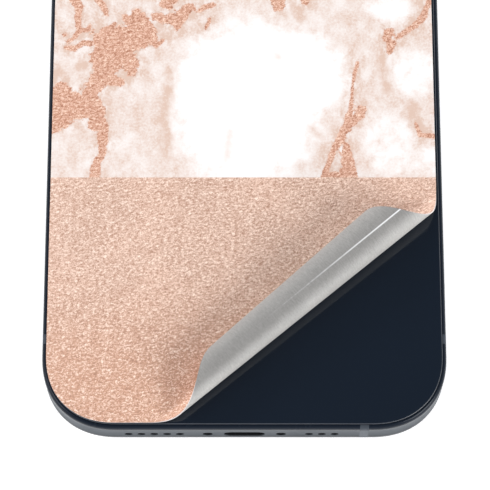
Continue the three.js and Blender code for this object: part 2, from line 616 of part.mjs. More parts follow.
function buildBottomEnd(group) {
  buildPort(group);
  const cone = block(SPEAKER_CONE.x, SPEAKER_CONE.y, [ROOF - SPEAKER_CONE.depth, ROOF + 1]);
  add(group, "loudspeaker", cut(fitted(LOUDSPEAKER), cone), BLACK_PLASTIC);
  const meshY = [-innerY + CLEARANCE, -innerY + CLEARANCE + 0.4];
  const margin = 1.1;
  const meshes = [
    ["speaker_mesh", SPEAKER_HOLES],
    ["mic_mesh", MIC_HOLES],
  ];
  for (const [name, row] of meshes) {
    const last = row.first + (row.count - 1) * HOLE_PITCH;
    const meshBlock = block([row.first - margin, last + margin], meshY, [END_AXIS - 1, END_AXIS + 1]);
    add(group, name, meshBlock, MESH_BLACK);
  }
  add(group, "microphone", blockOf(MICROPHONE), TIN);

  const hollow = {
    x: [HAPTIC.x[0] + HAPTIC.wall, HAPTIC.x[1] - HAPTIC.wall],
    y: [HAPTIC.y[0] + HAPTIC.wall, HAPTIC.y[1] - HAPTIC.wall],
    z: [HAPTIC.z[0] + HAPTIC.wall, HAPTIC.z[1] + 1],
  };
  add(group, "haptic_case", cut(blockOf(HAPTIC), blockOf(hollow)), TIN);
  const slip = 0.2;
  const mass = {
    x: [hollow.x[0] + HAPTIC.endGap, hollow.x[1] - HAPTIC.endGap],
    y: [hollow.y[0] + slip, hollow.y[1] - slip],
    z: [hollow.z[0] + slip, HAPTIC.z[1] - slip],
  };
  add(group, "haptic_mass", blockOf(mass), TUNGSTEN);
  add(group, "haptic_cover", block(HAPTIC.x, HAPTIC.y, [HAPTIC.z[1], HAPTIC.z[1] + 0.25]), TIN);
  for (const [name, side] of [["left", -1], ["right", 1]]) {
    const leaf = new THREE.Shape();
    const half = (mass.y[1] - mass.y[0]) / 2 - LEAF.endGap;
    leaf.moveTo(-half, 0);
    leaf.lineTo(half, 0);
    leaf.lineTo(half, LEAF.thickness);
    leaf.quadraticCurveTo(0, LEAF.thickness + 2 * LEAF.bow, -half, LEAF.thickness);
    const settings = { depth: LEAF.width, bevelEnabled: false, curveSegments: 6 };
    const spring = new THREE.ExtrudeGeometry(leaf, settings);
    const x = side < 0 ? hollow.x[0] + CLEARANCE : hollow.x[1] - CLEARANCE;
    const y = (mass.y[0] + mass.y[1]) / 2;
    const leafMesh = spring.rotateZ(side < 0 ? -Math.PI / 2 : Math.PI / 2);
    add(group, `haptic_spring_${name}`, leafMesh, TIN, x, y, hollow.z[0] + LEAF.lift);
  }
}

// ---------------------------------------------------------------- keys and card tray
function keyBody(key, side) {
  const cap = sideSlab(capsule(key.half, KEY_HALF_HEIGHT), 0, 0, -KEY_DEPTH, 0);
  const stem = sideSlab(circle(STEM.radius), 0, 0, -KEY_DEPTH - STEM.length, -KEY_DEPTH + 0.1);
  const body = join(cap, stem);
  return side > 0 ? body : body.rotateZ(Math.PI);
}

function bracket(keys, side, [fromY, toY]) {
  const domeFace = halfWidth + KEY_PROUD - KEY_DEPTH - STEM.length - DOME.gap;
  const plateX = [domeFace - DOME.height - BRACKET.thickness, domeFace - DOME.height];
  const heights = [BRACKET.low, BRACKET.high];
  const pieces = [block(plateX, [fromY, toY], heights)];
  const tabX = [plateX[0], innerX - CLEARANCE];
  pieces.push(block(tabX, [fromY, fromY + BRACKET.tab], heights));
  pieces.push(block(tabX, [toY - BRACKET.tab, toY], heights));
  for (const key of keys) {
    pieces.push(sideSlab(circle(DOME.radius), key.y, SIDE_AXIS, plateX[1] - 0.1, domeFace));
  }
  const whole = join(...pieces);
  return side > 0 ? whole : whole.scale(-1, 1, 1);
}

function mirroredFaces(geometry) {
  const flipped = geometry.clone();
  const order = flipped.index.array;
  for (let index = 0; index < order.length; index += 3) {
    [order[index + 1], order[index + 2]] = [order[index + 2], order[index + 1]];
  }
  return flipped;
}

function buildKeys(group) {
  const face = halfWidth + KEY_PROUD;
  add(group, "volume_up_key", keyBody(VOLUME_UP, 1), STEEL, face, VOLUME_UP.y, SIDE_AXIS);
  add(group, "volume_down_key", keyBody(VOLUME_DOWN, 1), STEEL, face, VOLUME_DOWN.y, SIDE_AXIS);
  add(group, "power_key", keyBody(POWER, -1), STEEL, -face, POWER.y, SIDE_AXIS);
  const lever = sideSlab(capsule(RINGER.half, RINGER.halfHeight), 0, 0, -KEY_DEPTH, 0);
  add(group, "ringer_switch", lever, STEEL, face, RINGER.y, SIDE_AXIS - RINGER.drop);
  add(group, "volume_key_bracket", bracket([VOLUME_UP, VOLUME_DOWN], 1, VOLUME_BRACKET), TIN);
  add(group, "power_key_bracket", mirroredFaces(bracket([POWER], -1, POWER_BRACKET)), TIN);
}

function buildTray(group) {
  const faceBack = halfWidth - TRAY.faceDepth;
  const face = sideSlab(capsule(TRAY.half, TRAY.halfHeight), TRAY.y, SIDE_AXIS, faceBack, halfWidth);
  const bladeY = [TRAY.y - BLADE.half, TRAY.y + BLADE.half];
  const blade = block([TRAY.innerEnd, faceBack + 0.1], bladeY, [BLADE.low, BLADE.high]);
  const seat = { halfX: CARD.length / 2, halfY: CARD.width / 2 };
  const window = slab(rounded(seat.halfX + 0.1, seat.halfY + 0.1, 1), BLADE.low - 1, BLADE.high + 1);
  const pinY = TRAY.y + TRAY.half - EJECT_HOLE.inset;
  const pinHole = sideSlab(circle(EJECT_HOLE.radius), pinY, SIDE_AXIS, faceBack - 0.1, halfWidth + 1);
  const tray = cut(join(face, blade), window.translate(CARD.x, TRAY.y, 0), pinHole);
  add(group, "card_tray", tray, STEEL);
  const card = slab(rounded(seat.halfX, seat.halfY, 1), BLADE.low + CLEARANCE, BLADE.high - CLEARANCE);
  add(group, "card", card, CARD_WHITE, CARD.x, TRAY.y, 0);
  const readerY = [TRAY.y - READER.half, TRAY.y + READER.half];
  const shell = block([READER.innerEnd, READER.mouth], readerY, [READER.low, READER.high]);
  const inside = block(
    [READER.innerEnd + READER.wall, READER.mouth + 1],
    [readerY[0] + READER.rail, readerY[1] - READER.rail],
    [READER.low + READER.wall, READER.high - READER.wall],
  );
  add(group, "card_reader", cut(shell, inside), TIN);
}

// ---------------------------------------------------------------- the phone
const phone = new THREE.Group();
const builders = [
  buildBand,
  buildEndScrews,
  buildDisplay,
  buildBack,
  buildSkin,
  buildCameras,
  buildBoards,
  buildBottomEnd,
  buildKeys,
  buildTray,
];
for (const build of builders) {
  const section = new THREE.Group();
  build(section);
  phone.add(section);
}

export default phone;
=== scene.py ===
"""A flat-sided smartphone lying face down, with a printed skin that peels and rolls up at one corner.

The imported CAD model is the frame. Each operator makes one piece, or one group of like pieces, over it.
Sizes in the settings are metres, as everywhere in Blender; the outline helpers work in metres too.
"""

import json
import math

import bmesh
import bpy
import numpy as np
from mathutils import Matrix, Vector
from mathutils.geometry import delaunay_2d_cdt


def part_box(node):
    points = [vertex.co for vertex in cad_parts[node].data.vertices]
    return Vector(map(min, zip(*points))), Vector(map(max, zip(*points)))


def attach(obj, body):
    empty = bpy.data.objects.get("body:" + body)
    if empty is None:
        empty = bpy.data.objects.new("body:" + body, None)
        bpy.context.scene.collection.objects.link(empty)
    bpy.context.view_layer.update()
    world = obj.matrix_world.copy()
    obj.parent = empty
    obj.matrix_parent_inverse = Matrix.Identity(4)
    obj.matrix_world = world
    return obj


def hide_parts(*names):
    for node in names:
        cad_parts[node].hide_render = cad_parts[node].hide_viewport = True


bl_info = {
    "name": "Smartphone With Peeling Skin",
    "version": (1, 0, 0),
    "blender": (4, 5, 0),
    "location": "View3D > Sidebar > Phone",
    "description": "Dresses the packed phone: band, glass, cameras, keys and a skin rolled at one corner",
    "category": "Add Mesh",
}

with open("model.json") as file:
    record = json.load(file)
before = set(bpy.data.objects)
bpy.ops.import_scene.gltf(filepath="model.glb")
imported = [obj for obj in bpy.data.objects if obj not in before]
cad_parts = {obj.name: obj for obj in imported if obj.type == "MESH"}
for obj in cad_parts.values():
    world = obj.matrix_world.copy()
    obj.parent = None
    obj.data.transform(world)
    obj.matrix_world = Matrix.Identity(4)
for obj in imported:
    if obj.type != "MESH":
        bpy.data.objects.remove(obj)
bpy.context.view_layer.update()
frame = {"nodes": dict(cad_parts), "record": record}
MM = 0.001


def low(node):
    return np.array(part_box(node)[0])


def high(node):
    return np.array(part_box(node)[1])


def middle(node):
    return (low(node) + high(node)) / 2


def half_size(node):
    return (high(node) - low(node)) / 2


HALF = half_size("frame")
BACK = high("back_glass")[2]
CORNER_REACH = 13.5 * MM
CORNER_EXPONENT = 2.25
GLASS_INSET = HALF[0] - high("back_glass")[0]
PLATE_REACH = 8.0 * MM
OPENING_GAP = 0.6 * MM


# ------------------------------------------------------------------ settings


def length(name, text, default):
    return bpy.props.FloatProperty(
        name=name, description=text, default=default, subtype="DISTANCE", unit="LENGTH", precision=5
    )


def colour(name, text, default):
    return bpy.props.FloatVectorProperty(
        name=name, description=text, default=default, size=3, subtype="COLOR", min=0, max=1
    )


class SkinSettings(bpy.types.PropertyGroup):
    peel_side: length("Peel on the side", "Where the peel line meets the right edge", -27.6 * MM)
    peel_end: length("Peel on the end", "Where the peel line meets the bottom edge", -17.0 * MM)
    roll_side: length("Roll at the side", "The roll's radius at the right edge", 4.37 * MM)
    roll_end: length("Roll at the end", "The roll's radius at the bottom edge", 2.75 * MM)
    lift: length("Lift", "How far across the peel line the film bends before it rolls", 0.9 * MM)
    # Painted highlight: the next two settings place a thin bright line painted along the roll, standing in
    # for a light's reflection, not a crease in the film.
    highlight_start: length("Highlight start", "Where the whitened crease begins, from the cone's tip", 128 * MM)
    highlight_end: length("Highlight end", "Where the crease is strongest, from the cone's tip", 180 * MM)
    leather_edge: length("Leather edge", "Where the marble print meets the leather print", -26.85 * MM)
    white: colour("Marble white", "Lightest part of the marble", (0.93, 0.92, 0.91))
    blush: colour("Marble blush", "Tinted clouds in the marble", (0.68, 0.50, 0.41))
    foil: colour("Foil", "Rose metal veins", (0.675, 0.375, 0.268))
    leather: colour("Leather", "Middle tone of the leather print", (0.698, 0.468, 0.364))
    backing: colour("Backing", "Adhesive side of the film", (0.335, 0.325, 0.31))


class BandSettings(bpy.types.PropertyGroup):
    metal: colour("Metal", "Satin side of the band", (0.056, 0.061, 0.069))
    polished: colour("Polished edge", "Dark polished edges of the band", (0.008, 0.012, 0.02))
    edge: length("Edge", "Height of each rounded edge", 0.9 * MM)
    border: length("Border", "Height of the polished part of each edge", 1.35 * MM)
    flare: length("Flare", "Chamfer round each opening", 0.08 * MM)


class StageSettings(bpy.types.PropertyGroup):
    eye: bpy.props.FloatVectorProperty(
        name="Camera place",
        description="Where the camera stands",
        default=(0.000118, -0.17922, 0.43029),
        subtype="XYZ",
        unit="LENGTH",
    )
    tilt: bpy.props.FloatProperty(
        name="Camera tilt",
        description="Turn from looking straight down",
        default=math.radians(18.284),
        subtype="ANGLE",
        unit="ROTATION",
    )
    lens: bpy.props.FloatProperty(
        name="Lens",
        description="Focal length",
        default=182.67,
        subtype="DISTANCE_CAMERA",
        unit="CAMERA",
    )
    floor: length("Floor", "Width of the pale floor", 3.0)


# ------------------------------------------------------------------ node trees


class Wiring:
    """Adds nodes to one tree, and links or sets their inputs."""

    def __init__(self, tree):
        self.tree = tree

    def put(self, socket, value):
        if isinstance(value, bpy.types.NodeSocket):
            self.tree.links.new(value, socket)
        elif value is not None:
            socket.default_value = value

    def add(self, kind, inputs=None, **settings):
        node = self.tree.nodes.new(kind)
        for name, value in settings.items():
            setattr(node, name, value)
        for name, value in (inputs or {}).items():
            self.put(node.inputs[name], value)
        return node

    def math(self, operation, first, second=None, third=None):
        inputs = {0: first, 1: second, 2: third}
        return self.add("ShaderNodeMath", inputs, operation=operation).outputs[0]

    def times(self, first, second, plus=None):
        """A product, or a product with something added."""
        return self.math("MULTIPLY" if plus is None else "MULTIPLY_ADD", first, second, plus)

    def vector(self, operation, first, second=None):
        return self.add("ShaderNodeVectorMath", {0: first, 1: second}, operation=operation).outputs[0]

    def mix(self, share, first, second, blend="MIX"):
        node = self.add("ShaderNodeMix", data_type="RGBA", blend_type=blend)
        self.put(node.inputs["Factor"], share)
        for place, value in ((6, first), (7, second)):
            self.put(node.inputs[place], rgba(value))
        return node.outputs[2]

    def span(self, value, start, end, low_value=0.0, high_value=1.0, smooth=True):
        inputs = {"Value": value, 1: start, 2: end, 3: low_value, 4: high_value}
        kind = "SMOOTHSTEP" if smooth else "LINEAR"
        return self.add("ShaderNodeMapRange", inputs, interpolation_type=kind).outputs[0]

    def noise(self, vector, scale, detail=3.0, roughness=0.55, distortion=0.0):
        inputs = {
            "Vector": vector,
            "Scale": scale,
            "Detail": detail,
            "Roughness": roughness,
            "Distortion": distortion,
        }
        return self.add("ShaderNodeTexNoise", inputs).outputs[0]

    def cells(self, vector, scale, feature="F1"):
        inputs = {"Vector": vector, "Scale": scale}
        return self.add("ShaderNodeTexVoronoi", inputs, feature=feature).outputs[0]

    def bump(self, height, strength, distance):
        inputs = {"Height": height, "Strength": strength, "Distance": distance}
        return self.add("ShaderNodeBump", inputs).outputs[0]

    def place(self):
        return self.add("ShaderNodeTexCoord").outputs["Object"]

    def split(self, vector):
        return self.add("ShaderNodeSeparateXYZ", {0: vector}).outputs

    def length(self, vector):
        return self.add("ShaderNodeVectorMath", {0: vector}, operation="LENGTH").outputs["Value"]

    def stored(self, name, output="Fac"):
        """A value that the mesh carries at each point."""
        return self.add("ShaderNodeAttribute", attribute_name=name).outputs[output]

    def grain(self, vector, scale):
        """The surface grain's value and its height."""
        inputs = {"Vector": vector, "Scale": scale}
        return self.add("ShaderNodeGroup", inputs, node_tree=grain_group()).outputs

    def marks(self, vector, scale=60.0):
        """The mask of the handling marks."""
        inputs = {"Vector": vector, "Scale": scale}
        return self.add("ShaderNodeGroup", inputs, node_tree=smudge_group()).outputs["Mask"]


def rgba(value):
    if isinstance(value, (tuple, list)) or type(value).__name__ in ("Color", "bpy_prop_array"):
        return (*value[:3], 1.0)
    return value


def grey(value):
    return (value, value, value)


def group(name, inputs, outputs, build):
    """A shader node group, built once; build gets the wiring and the group's own sockets."""
    tree = bpy.data.node_groups.get(name)
    if tree:
        return tree
    tree = bpy.data.node_groups.new(name, "ShaderNodeTree")
    for title, kind, default in inputs:
        socket = tree.interface.new_socket(title, in_out="INPUT", socket_type=kind)
        if default is not None:
            socket.default_value = default
    for title, kind in outputs:
        tree.interface.new_socket(title, in_out="OUTPUT", socket_type=kind)
    wiring = Wiring(tree)
    made = build(wiring, wiring.add("NodeGroupInput").outputs)
    wiring.add("NodeGroupOutput", made)
    return tree


VECTOR, FLOAT, COLOUR = "NodeSocketVector", "NodeSocketFloat", "NodeSocketColor"


def grain_group():
    """Fine grain of a moulded, cast or coated surface: a value about a half, and its height."""

    def build(w, given):
        fine = w.noise(given["Vector"], given["Scale"], 4.0, 0.6)
        coarse = w.noise(given["Vector"], w.times(given["Scale"], 0.12), 2.0)
        value = w.math("ADD", w.times(fine, 0.6), w.times(coarse, 0.4))
        return {"Value": value, "Height": fine}

    inputs = [("Vector", VECTOR, None), ("Scale", FLOAT, 4000.0)]
    return group("Surface Grain", inputs, [("Value", FLOAT), ("Height", FLOAT)], build)


def smudge_group():
    """Broad soft marks of handling, for roughness."""

    def build(w, given):
        blotches = w.noise(given["Vector"], given["Scale"], 5.0, 0.65, 0.6)
        marks = w.span(blotches, 0.45, 0.75)
        return {"Mask": w.times(marks, given["Amount"])}

    inputs = [("Vector", VECTOR, None), ("Scale", FLOAT, 60.0), ("Amount", FLOAT, 1.0)]
    return group("Handling Marks", inputs, [("Mask", FLOAT)], build)


def hide_group():
    """Pressed hide: short fine wrinkles and pores, dark in the dips and light on the crests."""

    def build(w, given):
        vector = given["Vector"]
        bend = w.noise(vector, 0.8, 3.0, 0.6)
        bent = w.vector("ADD", vector, w.add("ShaderNodeCombineXYZ", {0: bend, 1: bend}).outputs[0])
        wrinkles = w.noise(w.vector("MULTIPLY", bent, (0.75, 1.25, 1.0)), 2.1, 2.0, 0.75)
        fibres = w.noise(bent, 4.2, 1.0, 0.6)
        patches = w.noise(vector, 0.55, 3.0, 0.6)
        fine = w.times(wrinkles, 0.62, w.times(fibres, 0.38))
        tone = w.times(patches, 0.14, w.times(fine, 0.86))
        spread = w.times(w.math("SUBTRACT", tone, 0.5), given["Contrast"])
        dark = w.mix(w.times(spread, -1.0), given["Middle"], given["Dark"])
        return {"Color": w.mix(spread, dark, given["Light"]), "Height": fine}

    inputs = [("Vector", VECTOR, None), *((title, COLOUR, None) for title in ("Middle", "Dark", "Light"))]
    inputs.append(("Contrast", FLOAT, 8.5))
    return group("Pressed Hide", inputs, [("Color", COLOUR), ("Height", FLOAT)], build)


def pressed_hide(w, vector, tone, dark, light):
    """The colour and the height of pressed hide."""
    inputs = {"Vector": vector, "Middle": rgba(tone), "Dark": rgba(dark), "Light": rgba(light)}
    return w.add("ShaderNodeGroup", inputs, node_tree=hide_group()).outputs


def material(name, dress):
    """A material made once, from the shader's inputs that dress(wiring) gives by name."""
    made = bpy.data.materials.get(name)
    if made:
        return made
    made = bpy.data.materials.new(name)
    made.use_nodes = True
    made.node_tree.nodes.clear()
    wiring = Wiring(made.node_tree)
    shader = wiring.add("ShaderNodeBsdfPrincipled", dress(wiring))
    wiring.add("ShaderNodeOutputMaterial", {"Surface": shader.outputs[0]})
    return made


def finish(name):
    """Turns a function that wires a shader's inputs into one that gives the material of that name."""

    def wrap(dress):
        return lambda *settings: material(name, lambda w: dress(w, *settings))

    return wrap


def coated(name, base, rough=0.5, metallic=0.0, scale=4000.0, depth=0.15, shift=0.25, sheen=0.5):
    """A grained surface whose tone, roughness and height vary a little, as a real moulding's do."""

    def dress(w):
        place = w.place()
        grain, height = w.grain(place, scale)
        darker = [channel * (1 - shift) for channel in base]
        lighter = [min(1.0, channel * (1 + shift) + 0.004) for channel in base]
        return {
            "Base Color": w.mix(grain, darker, lighter),
            "Roughness": w.times(grain, 0.1, w.times(w.marks(place), 0.12, rough)),
            "Normal": w.bump(height, depth, 0.00002),
            "Metallic": metallic,
            "Specular IOR Level": sheen,
        }

    return material(name, dress)


# ------------------------------------------------------------------ outlines and meshes


def rounded(half_x, half_y, reach, exponent=2.0, steps=8):
    """A rounded rectangle about the origin, counter-clockwise, each corner a superellipse."""
    turns = np.concatenate([(quadrant + np.linspace(0, 1, steps + 1)) * math.pi / 2 for quadrant in range(4)])
    quadrants = np.repeat(np.arange(4), steps + 1)
    side_x = np.where((quadrants == 0) | (quadrants == 3), 1, -1)
    side_y = np.where(quadrants < 2, 1, -1)
    along_x = np.abs(np.cos(turns)) ** (2 / exponent)
    along_y = np.abs(np.sin(turns)) ** (2 / exponent)
    x = side_x * (half_x - reach + reach * along_x)
    y = side_y * (half_y - reach + reach * along_y)
    return np.stack([x, y], axis=1)


def phone_outline(inset=0.0, steps=28):
    reach = CORNER_REACH - inset
    return rounded(HALF[0] - inset, HALF[1] - inset, reach, CORNER_EXPONENT, steps)


def capsule(half_long, half_high, steps=10):
    return rounded(half_long, half_high, min(half_long, half_high), 2.0, steps)


def flat_ring(points, height, centre=(0.0, 0.0)):
    return np.column_stack([points + np.array(centre[:2]), np.full(len(points), height)])


def end_ring(points, centre, y):
    """A ring drawn on the end face: its outline runs along X and Z."""
    return np.column_stack([points[:, 0] + centre[0], np.full(len(points), y), points[:, 1] + centre[1]])


def side_ring(points, centre, x):
    """A ring drawn on a side: its outline runs along Y and Z."""
    return np.column_stack([np.full(len(points), x), points[:, 0] + centre[0], points[:, 1] + centre[1]])


def loft(rings, closed=False):
    """Points and faces that join equal rings; the ends are capped unless the last joins the first."""
    count = len(rings[0])
    faces = []
    for index in range(len(rings) if closed else len(rings) - 1):
        start, end = index * count, (index + 1) % len(rings) * count
        for place in range(count):
            following = (place + 1) % count
            faces.append((start + place, start + following, end + following, end + place))
    if not closed:
        faces.append(tuple(range(count - 1, -1, -1)))
        faces.append(tuple(range((len(rings) - 1) * count, len(rings) * count)))
    return np.concatenate(rings), faces


def turned(profile, centre, sides=72):
    """A lathe shape round a vertical axis; profile is a closed loop of (radius, height)."""
    turns = np.linspace(0, 2 * math.pi, sides, endpoint=False)
    rings = []
    for turn in turns:
        ring = [(centre[0] + r * math.cos(turn), centre[1] + r * math.sin(turn), z) for r, z in profile]
        rings.append(np.array(ring))
    return loft(rings, closed=True)


def arc(centre, radius, start, end, steps=6):
    """Points of an arc in degrees, as (across, up)."""
    turns = np.radians(np.linspace(start, end, steps + 1))
    return [(centre[0] + radius * math.cos(t), centre[1] + radius * math.sin(t)) for t in turns]


def solid(name, shape, looks=(), crease=35.0):
    """An object of that name from (points, faces), cleaned, facing out, smooth except at real edges."""
    mesh = bpy.data.meshes.new(name)
    mesh.from_pydata(np.asarray(shape[0]).tolist(), [], shape[1])
    obj = bpy.data.objects.new(name, mesh)
    bpy.context.scene.collection.objects.link(obj)
    tidy(obj)
    for look in looks:
        mesh.materials.append(look)
    smooth(obj, crease)
    return obj


def tidy(obj):
    work = bmesh.new()
    work.from_mesh(obj.data)
    bmesh.ops.remove_doubles(work, verts=work.verts, dist=1e-8)
    bmesh.ops.dissolve_degenerate(work, edges=work.edges, dist=1e-8)
    bmesh.ops.recalc_face_normals(work, faces=work.faces)
    work.to_mesh(obj.data)
    work.free()


def smooth(obj, crease=35.0):
    obj.data.shade_smooth()
    obj.data.set_sharp_from_angle(angle=math.radians(crease))


def bake(obj):
    """Replaces an object's mesh with what its modifiers make, and removes them."""
    graph = bpy.context.evaluated_depsgraph_get()
    mesh = bpy.data.meshes.new_from_object(obj.evaluated_get(graph))
    obj.modifiers.clear()
    old = obj.data
    obj.data = mesh
    mesh.name = obj.name
    bpy.data.meshes.remove(old)
    return obj


def carve(obj, shapes, operation="DIFFERENCE"):
    """Cuts shapes out of obj, or keeps only what lies in them; they may not overlap each other."""
    points, faces, start = [], [], 0
    for shape_points, shape_faces in shapes:
        points.append(shape_points)
        faces += [tuple(corner + start for corner in face) for face in shape_faces]
        start += len(shape_points)
    tool = solid(f"{obj.name}_tool", (np.concatenate(points), faces))
    cut = obj.modifiers.new("Cut", "BOOLEAN")
    cut.operation, cut.solver, cut.object = operation, "EXACT", tool
    bake(obj)
    bpy.data.objects.remove(tool)
    smooth(obj)
    return obj


def box_shape(near, far):
    corners = rounded(0.5, 0.5, 0.0, steps=1)
    square = corners[[0, 2, 4, 6]]
    size, centre = np.array(far) - np.array(near), (np.array(far) + np.array(near)) / 2
    rings = [flat_ring(square * size[:2], height, centre) for height in (near[2], far[2])]
    return loft(rings)


def settle(obj, body, slot, *nodes):
    """Puts a finished piece on its body, in place of its CAD nodes; its material slot is not used."""
    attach(obj, body)
    if nodes:
        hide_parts(*nodes)
    return obj


# ------------------------------------------------------------------ geometry nodes


def node_tree(name, inputs):
    """A geometry node tree with named inputs; returns its wiring and the inputs' sockets."""
    tree = bpy.data.node_groups.new(name, "GeometryNodeTree")
    tree.interface.new_socket("Geometry", in_out="INPUT", socket_type="NodeSocketGeometry")
    for title, kind in inputs:
        tree.interface.new_socket(title, in_out="INPUT", socket_type=kind)
    tree.interface.new_socket("Geometry", in_out="OUTPUT", socket_type="NodeSocketGeometry")
    wiring = Wiring(tree)
    return wiring, wiring.add("NodeGroupInput").outputs


def close_tree(w, geometry, look):
    """Ends a tree: instances made real, and the material set."""
    real = w.add("GeometryNodeRealizeInstances", {"Geometry": geometry}).outputs[0]
    dressed = w.add("GeometryNodeSetMaterial", {"Geometry": real, "Material": look}).outputs[0]
    w.add("NodeGroupOutput", {"Geometry": dressed})
    return w.tree


def grown(name, tree, values, seed_object=None):
    """A mesh object made by a geometry node tree, its inputs set by identifier, then baked."""
    obj = seed_object or bpy.data.objects.new(name, bpy.data.meshes.new(name))
    if obj.name not in bpy.context.scene.collection.objects:
        bpy.context.scene.collection.objects.link(obj)
    modifier = obj.modifiers.new("Build", "NODES")
    modifier.node_group = tree
    for item in tree.interface.items_tree:
        if item.item_type == "SOCKET" and item.in_out == "INPUT" and item.name in values:
            modifier[item.identifier] = values[item.name]
    return bake(obj)


# ------------------------------------------------------------------ the band


def off_side(w, place, settings):
    """How high a point of the band is, and the mask of its polished edges."""
    height = w.split(place)["Z"]
    off_centre = w.math("ABSOLUTE", w.math("SUBTRACT", height, middle("frame")[2]))
    border = HALF[2] - settings.border
    return height, w.span(off_centre, border - 0.05 * MM, border + 0.05 * MM)


@finish("Satin Band")
def band_metal(w, settings):
    """Satin metal sides between dark polished edges, with painted shade: darker towards the bottom and
    lighter towards the top.
    """
    place = w.place()
    height, polished = off_side(w, place, settings)
    grain, relief = w.grain(w.vector("MULTIPLY", place, (1.0, 1.0, 6.0)), 3000.0)
    tone = w.mix(grain, [0.86 * c for c in settings.metal], [1.14 * c for c in settings.metal])
    # Painted shade: the satin tone is darkened towards the bottom of the side and lightened towards the top,
    # and the reflection's tint is weakened and strengthened the same way.
    shade = w.span(height, low("frame")[2], high("frame")[2] - settings.border, smooth=False)
    tone = w.mix(1.0, tone, w.mix(shade, grey(0.45), grey(1.35)), "MULTIPLY")
    return {
        "Base Color": w.mix(polished, tone, tuple(settings.polished)),
        "Roughness": w.times(polished, -0.12, w.times(w.marks(place), 0.1, 0.36)),
        "Metallic": w.span(polished, 0.0, 1.0, 0.8, 0.0, smooth=False),
        "Normal": w.bump(relief, 0.06, 0.00001),
        "Specular Tint": w.mix(shade, (0.58, 0.61, 0.64), (0.82, 0.85, 0.88)),
        "Specular IOR Level": 0.2,
    }


def opening_dark():
    """The unlit inside of the openings."""
    return coated("Opening Shade", (0.006, 0.006, 0.007), 0.7, 0.0, 4000.0, sheen=0.1)


@finish("Insert Plastic")
def insert_plastic(w, settings):
    """Moulded plastic of the inserts, light on the sides and darker over the polished edges."""
    place = w.place()
    edge = off_side(w, place, settings)[1]
    speckle = w.noise(place, 5000.0, 3.0)
    side = w.mix(speckle, (0.08, 0.091, 0.106), (0.105, 0.118, 0.135))
    return {
        "Base Color": w.mix(edge, side, (0.048, 0.057, 0.071)),
        "Roughness": w.span(speckle, 0.0, 1.0, 0.42, 0.56),
        "Normal": w.bump(speckle, 0.1, 0.00001),
        "Specular IOR Level": 0.2,
    }


def band_section(depth, edge):
    """The band's section as (inset, height): a flat side, two rounded edges and the glass pockets."""
    bottom, top = low("frame")[2], high("frame")[2]
    lip = GLASS_INSET - 0.05 * MM
    front_ledge, back_ledge = high("cover_glass_tape")[2], low("back_glass_tape")[2]
    turns = np.radians(np.linspace(0, 90, 9))
    upper = [(lip * (1 - math.cos(t)), top - edge * (1 - math.sin(t))) for t in turns]
    lower = [(inset, bottom + top - height) for inset, height in reversed(upper)]
    support = 0.12 * MM
    side = [(0.0, bottom + edge + support), (0.0, top - edge - support)]
    inner = [(lip, back_ledge), (depth, back_ledge), (depth, front_ledge), (lip, front_ledge)]
    return lower + side + upper + inner


def section_curve(name, points):
    """A closed poly curve through (x, y) points."""
    curve = bpy.data.curves.new(name, "CURVE")
    curve.dimensions = "3D"
    spline = curve.splines.new("POLY")
    spline.points.add(len(points) - 1)
    for point, (x, y) in zip(spline.points, points):
        point.co = (x, y, 0.0, 1.0)
    spline.use_cyclic_u = True
    obj = bpy.data.objects.new(name, curve)
    bpy.context.scene.collection.objects.link(obj)
    return obj


def sweep_tree(look):
    """Sweeps a closed section round a closed outline, which comes in as a curve object."""
    w, given = node_tree("Band Sweep", [("Outline", "NodeSocketObject"), ("Section", "NodeSocketObject")])
    outline = w.add("GeometryNodeObjectInfo", {"Object": given["Outline"]}).outputs["Geometry"]
    upright = w.add("GeometryNodeSetCurveNormal", {"Curve": outline}, mode="Z_UP")
    section = w.add("GeometryNodeObjectInfo", {"Object": given["Section"]}).outputs["Geometry"]
    swept = w.add("GeometryNodeCurveToMesh", {"Curve": upright.outputs[0], "Profile Curve": section})
    return close_tree(w, swept.outputs[0], look)


def flared_hole(points_at, centre, face, inward, depth, flare, ring):
    """A cutter for an opening with a chamfered mouth: points_at(grow) is its outline."""
    stations = [(-0.4 * MM, flare), (0.0, flare), (flare, 0.0), (depth, 0.0)]
    rings = [ring(points_at(grow), centre, face + inward * run) for run, grow in stations]
    return loft(rings)


def flared_capsule(half_long, half_high, centre, face, inward, depth, flare, ring, steps=10):
    def points_at(grow):
        return capsule(half_long + grow, half_high + grow, steps)

    return flared_hole(points_at, centre, face, inward, depth, flare, ring)


def end_openings(flare):
    """The cutters of the bottom end: charging opening, hole rows and screw seats."""
    face = low("frame")[1]
    wall = 2.4 * MM
    shell_wall = 0.4 * MM
    axis = middle("port_shell")[2]
    port = half_size("port_shell")[2] - shell_wall
    port_long = high("port_shell")[0] - shell_wall
    cutters = [flared_capsule(port_long, port, (0.0, axis), face, 1, wall, 1.6 * flare, end_ring)]
    holes = []
    pitch, hole = 2.26 * MM, 0.675 * MM
    for node, count in (("speaker_mesh", 5), ("mic_mesh", 3)):
        holes += [(middle(node)[0] + (index - (count - 1) / 2) * pitch, hole) for index in range(count)]
    for node in END_SCREWS:
        holes.append((middle(node)[0], high(node)[0] - middle(node)[0] + 0.06 * MM))
    for x, radius in holes:
        cutters.append(flared_capsule(radius, radius, (x, axis), face, 1, wall, flare, end_ring, 6))
    return cutters


KEYS = ("volume_up_key", "volume_down_key", "power_key")
END_SCREWS = ("end_screw_left", "end_screw_right")


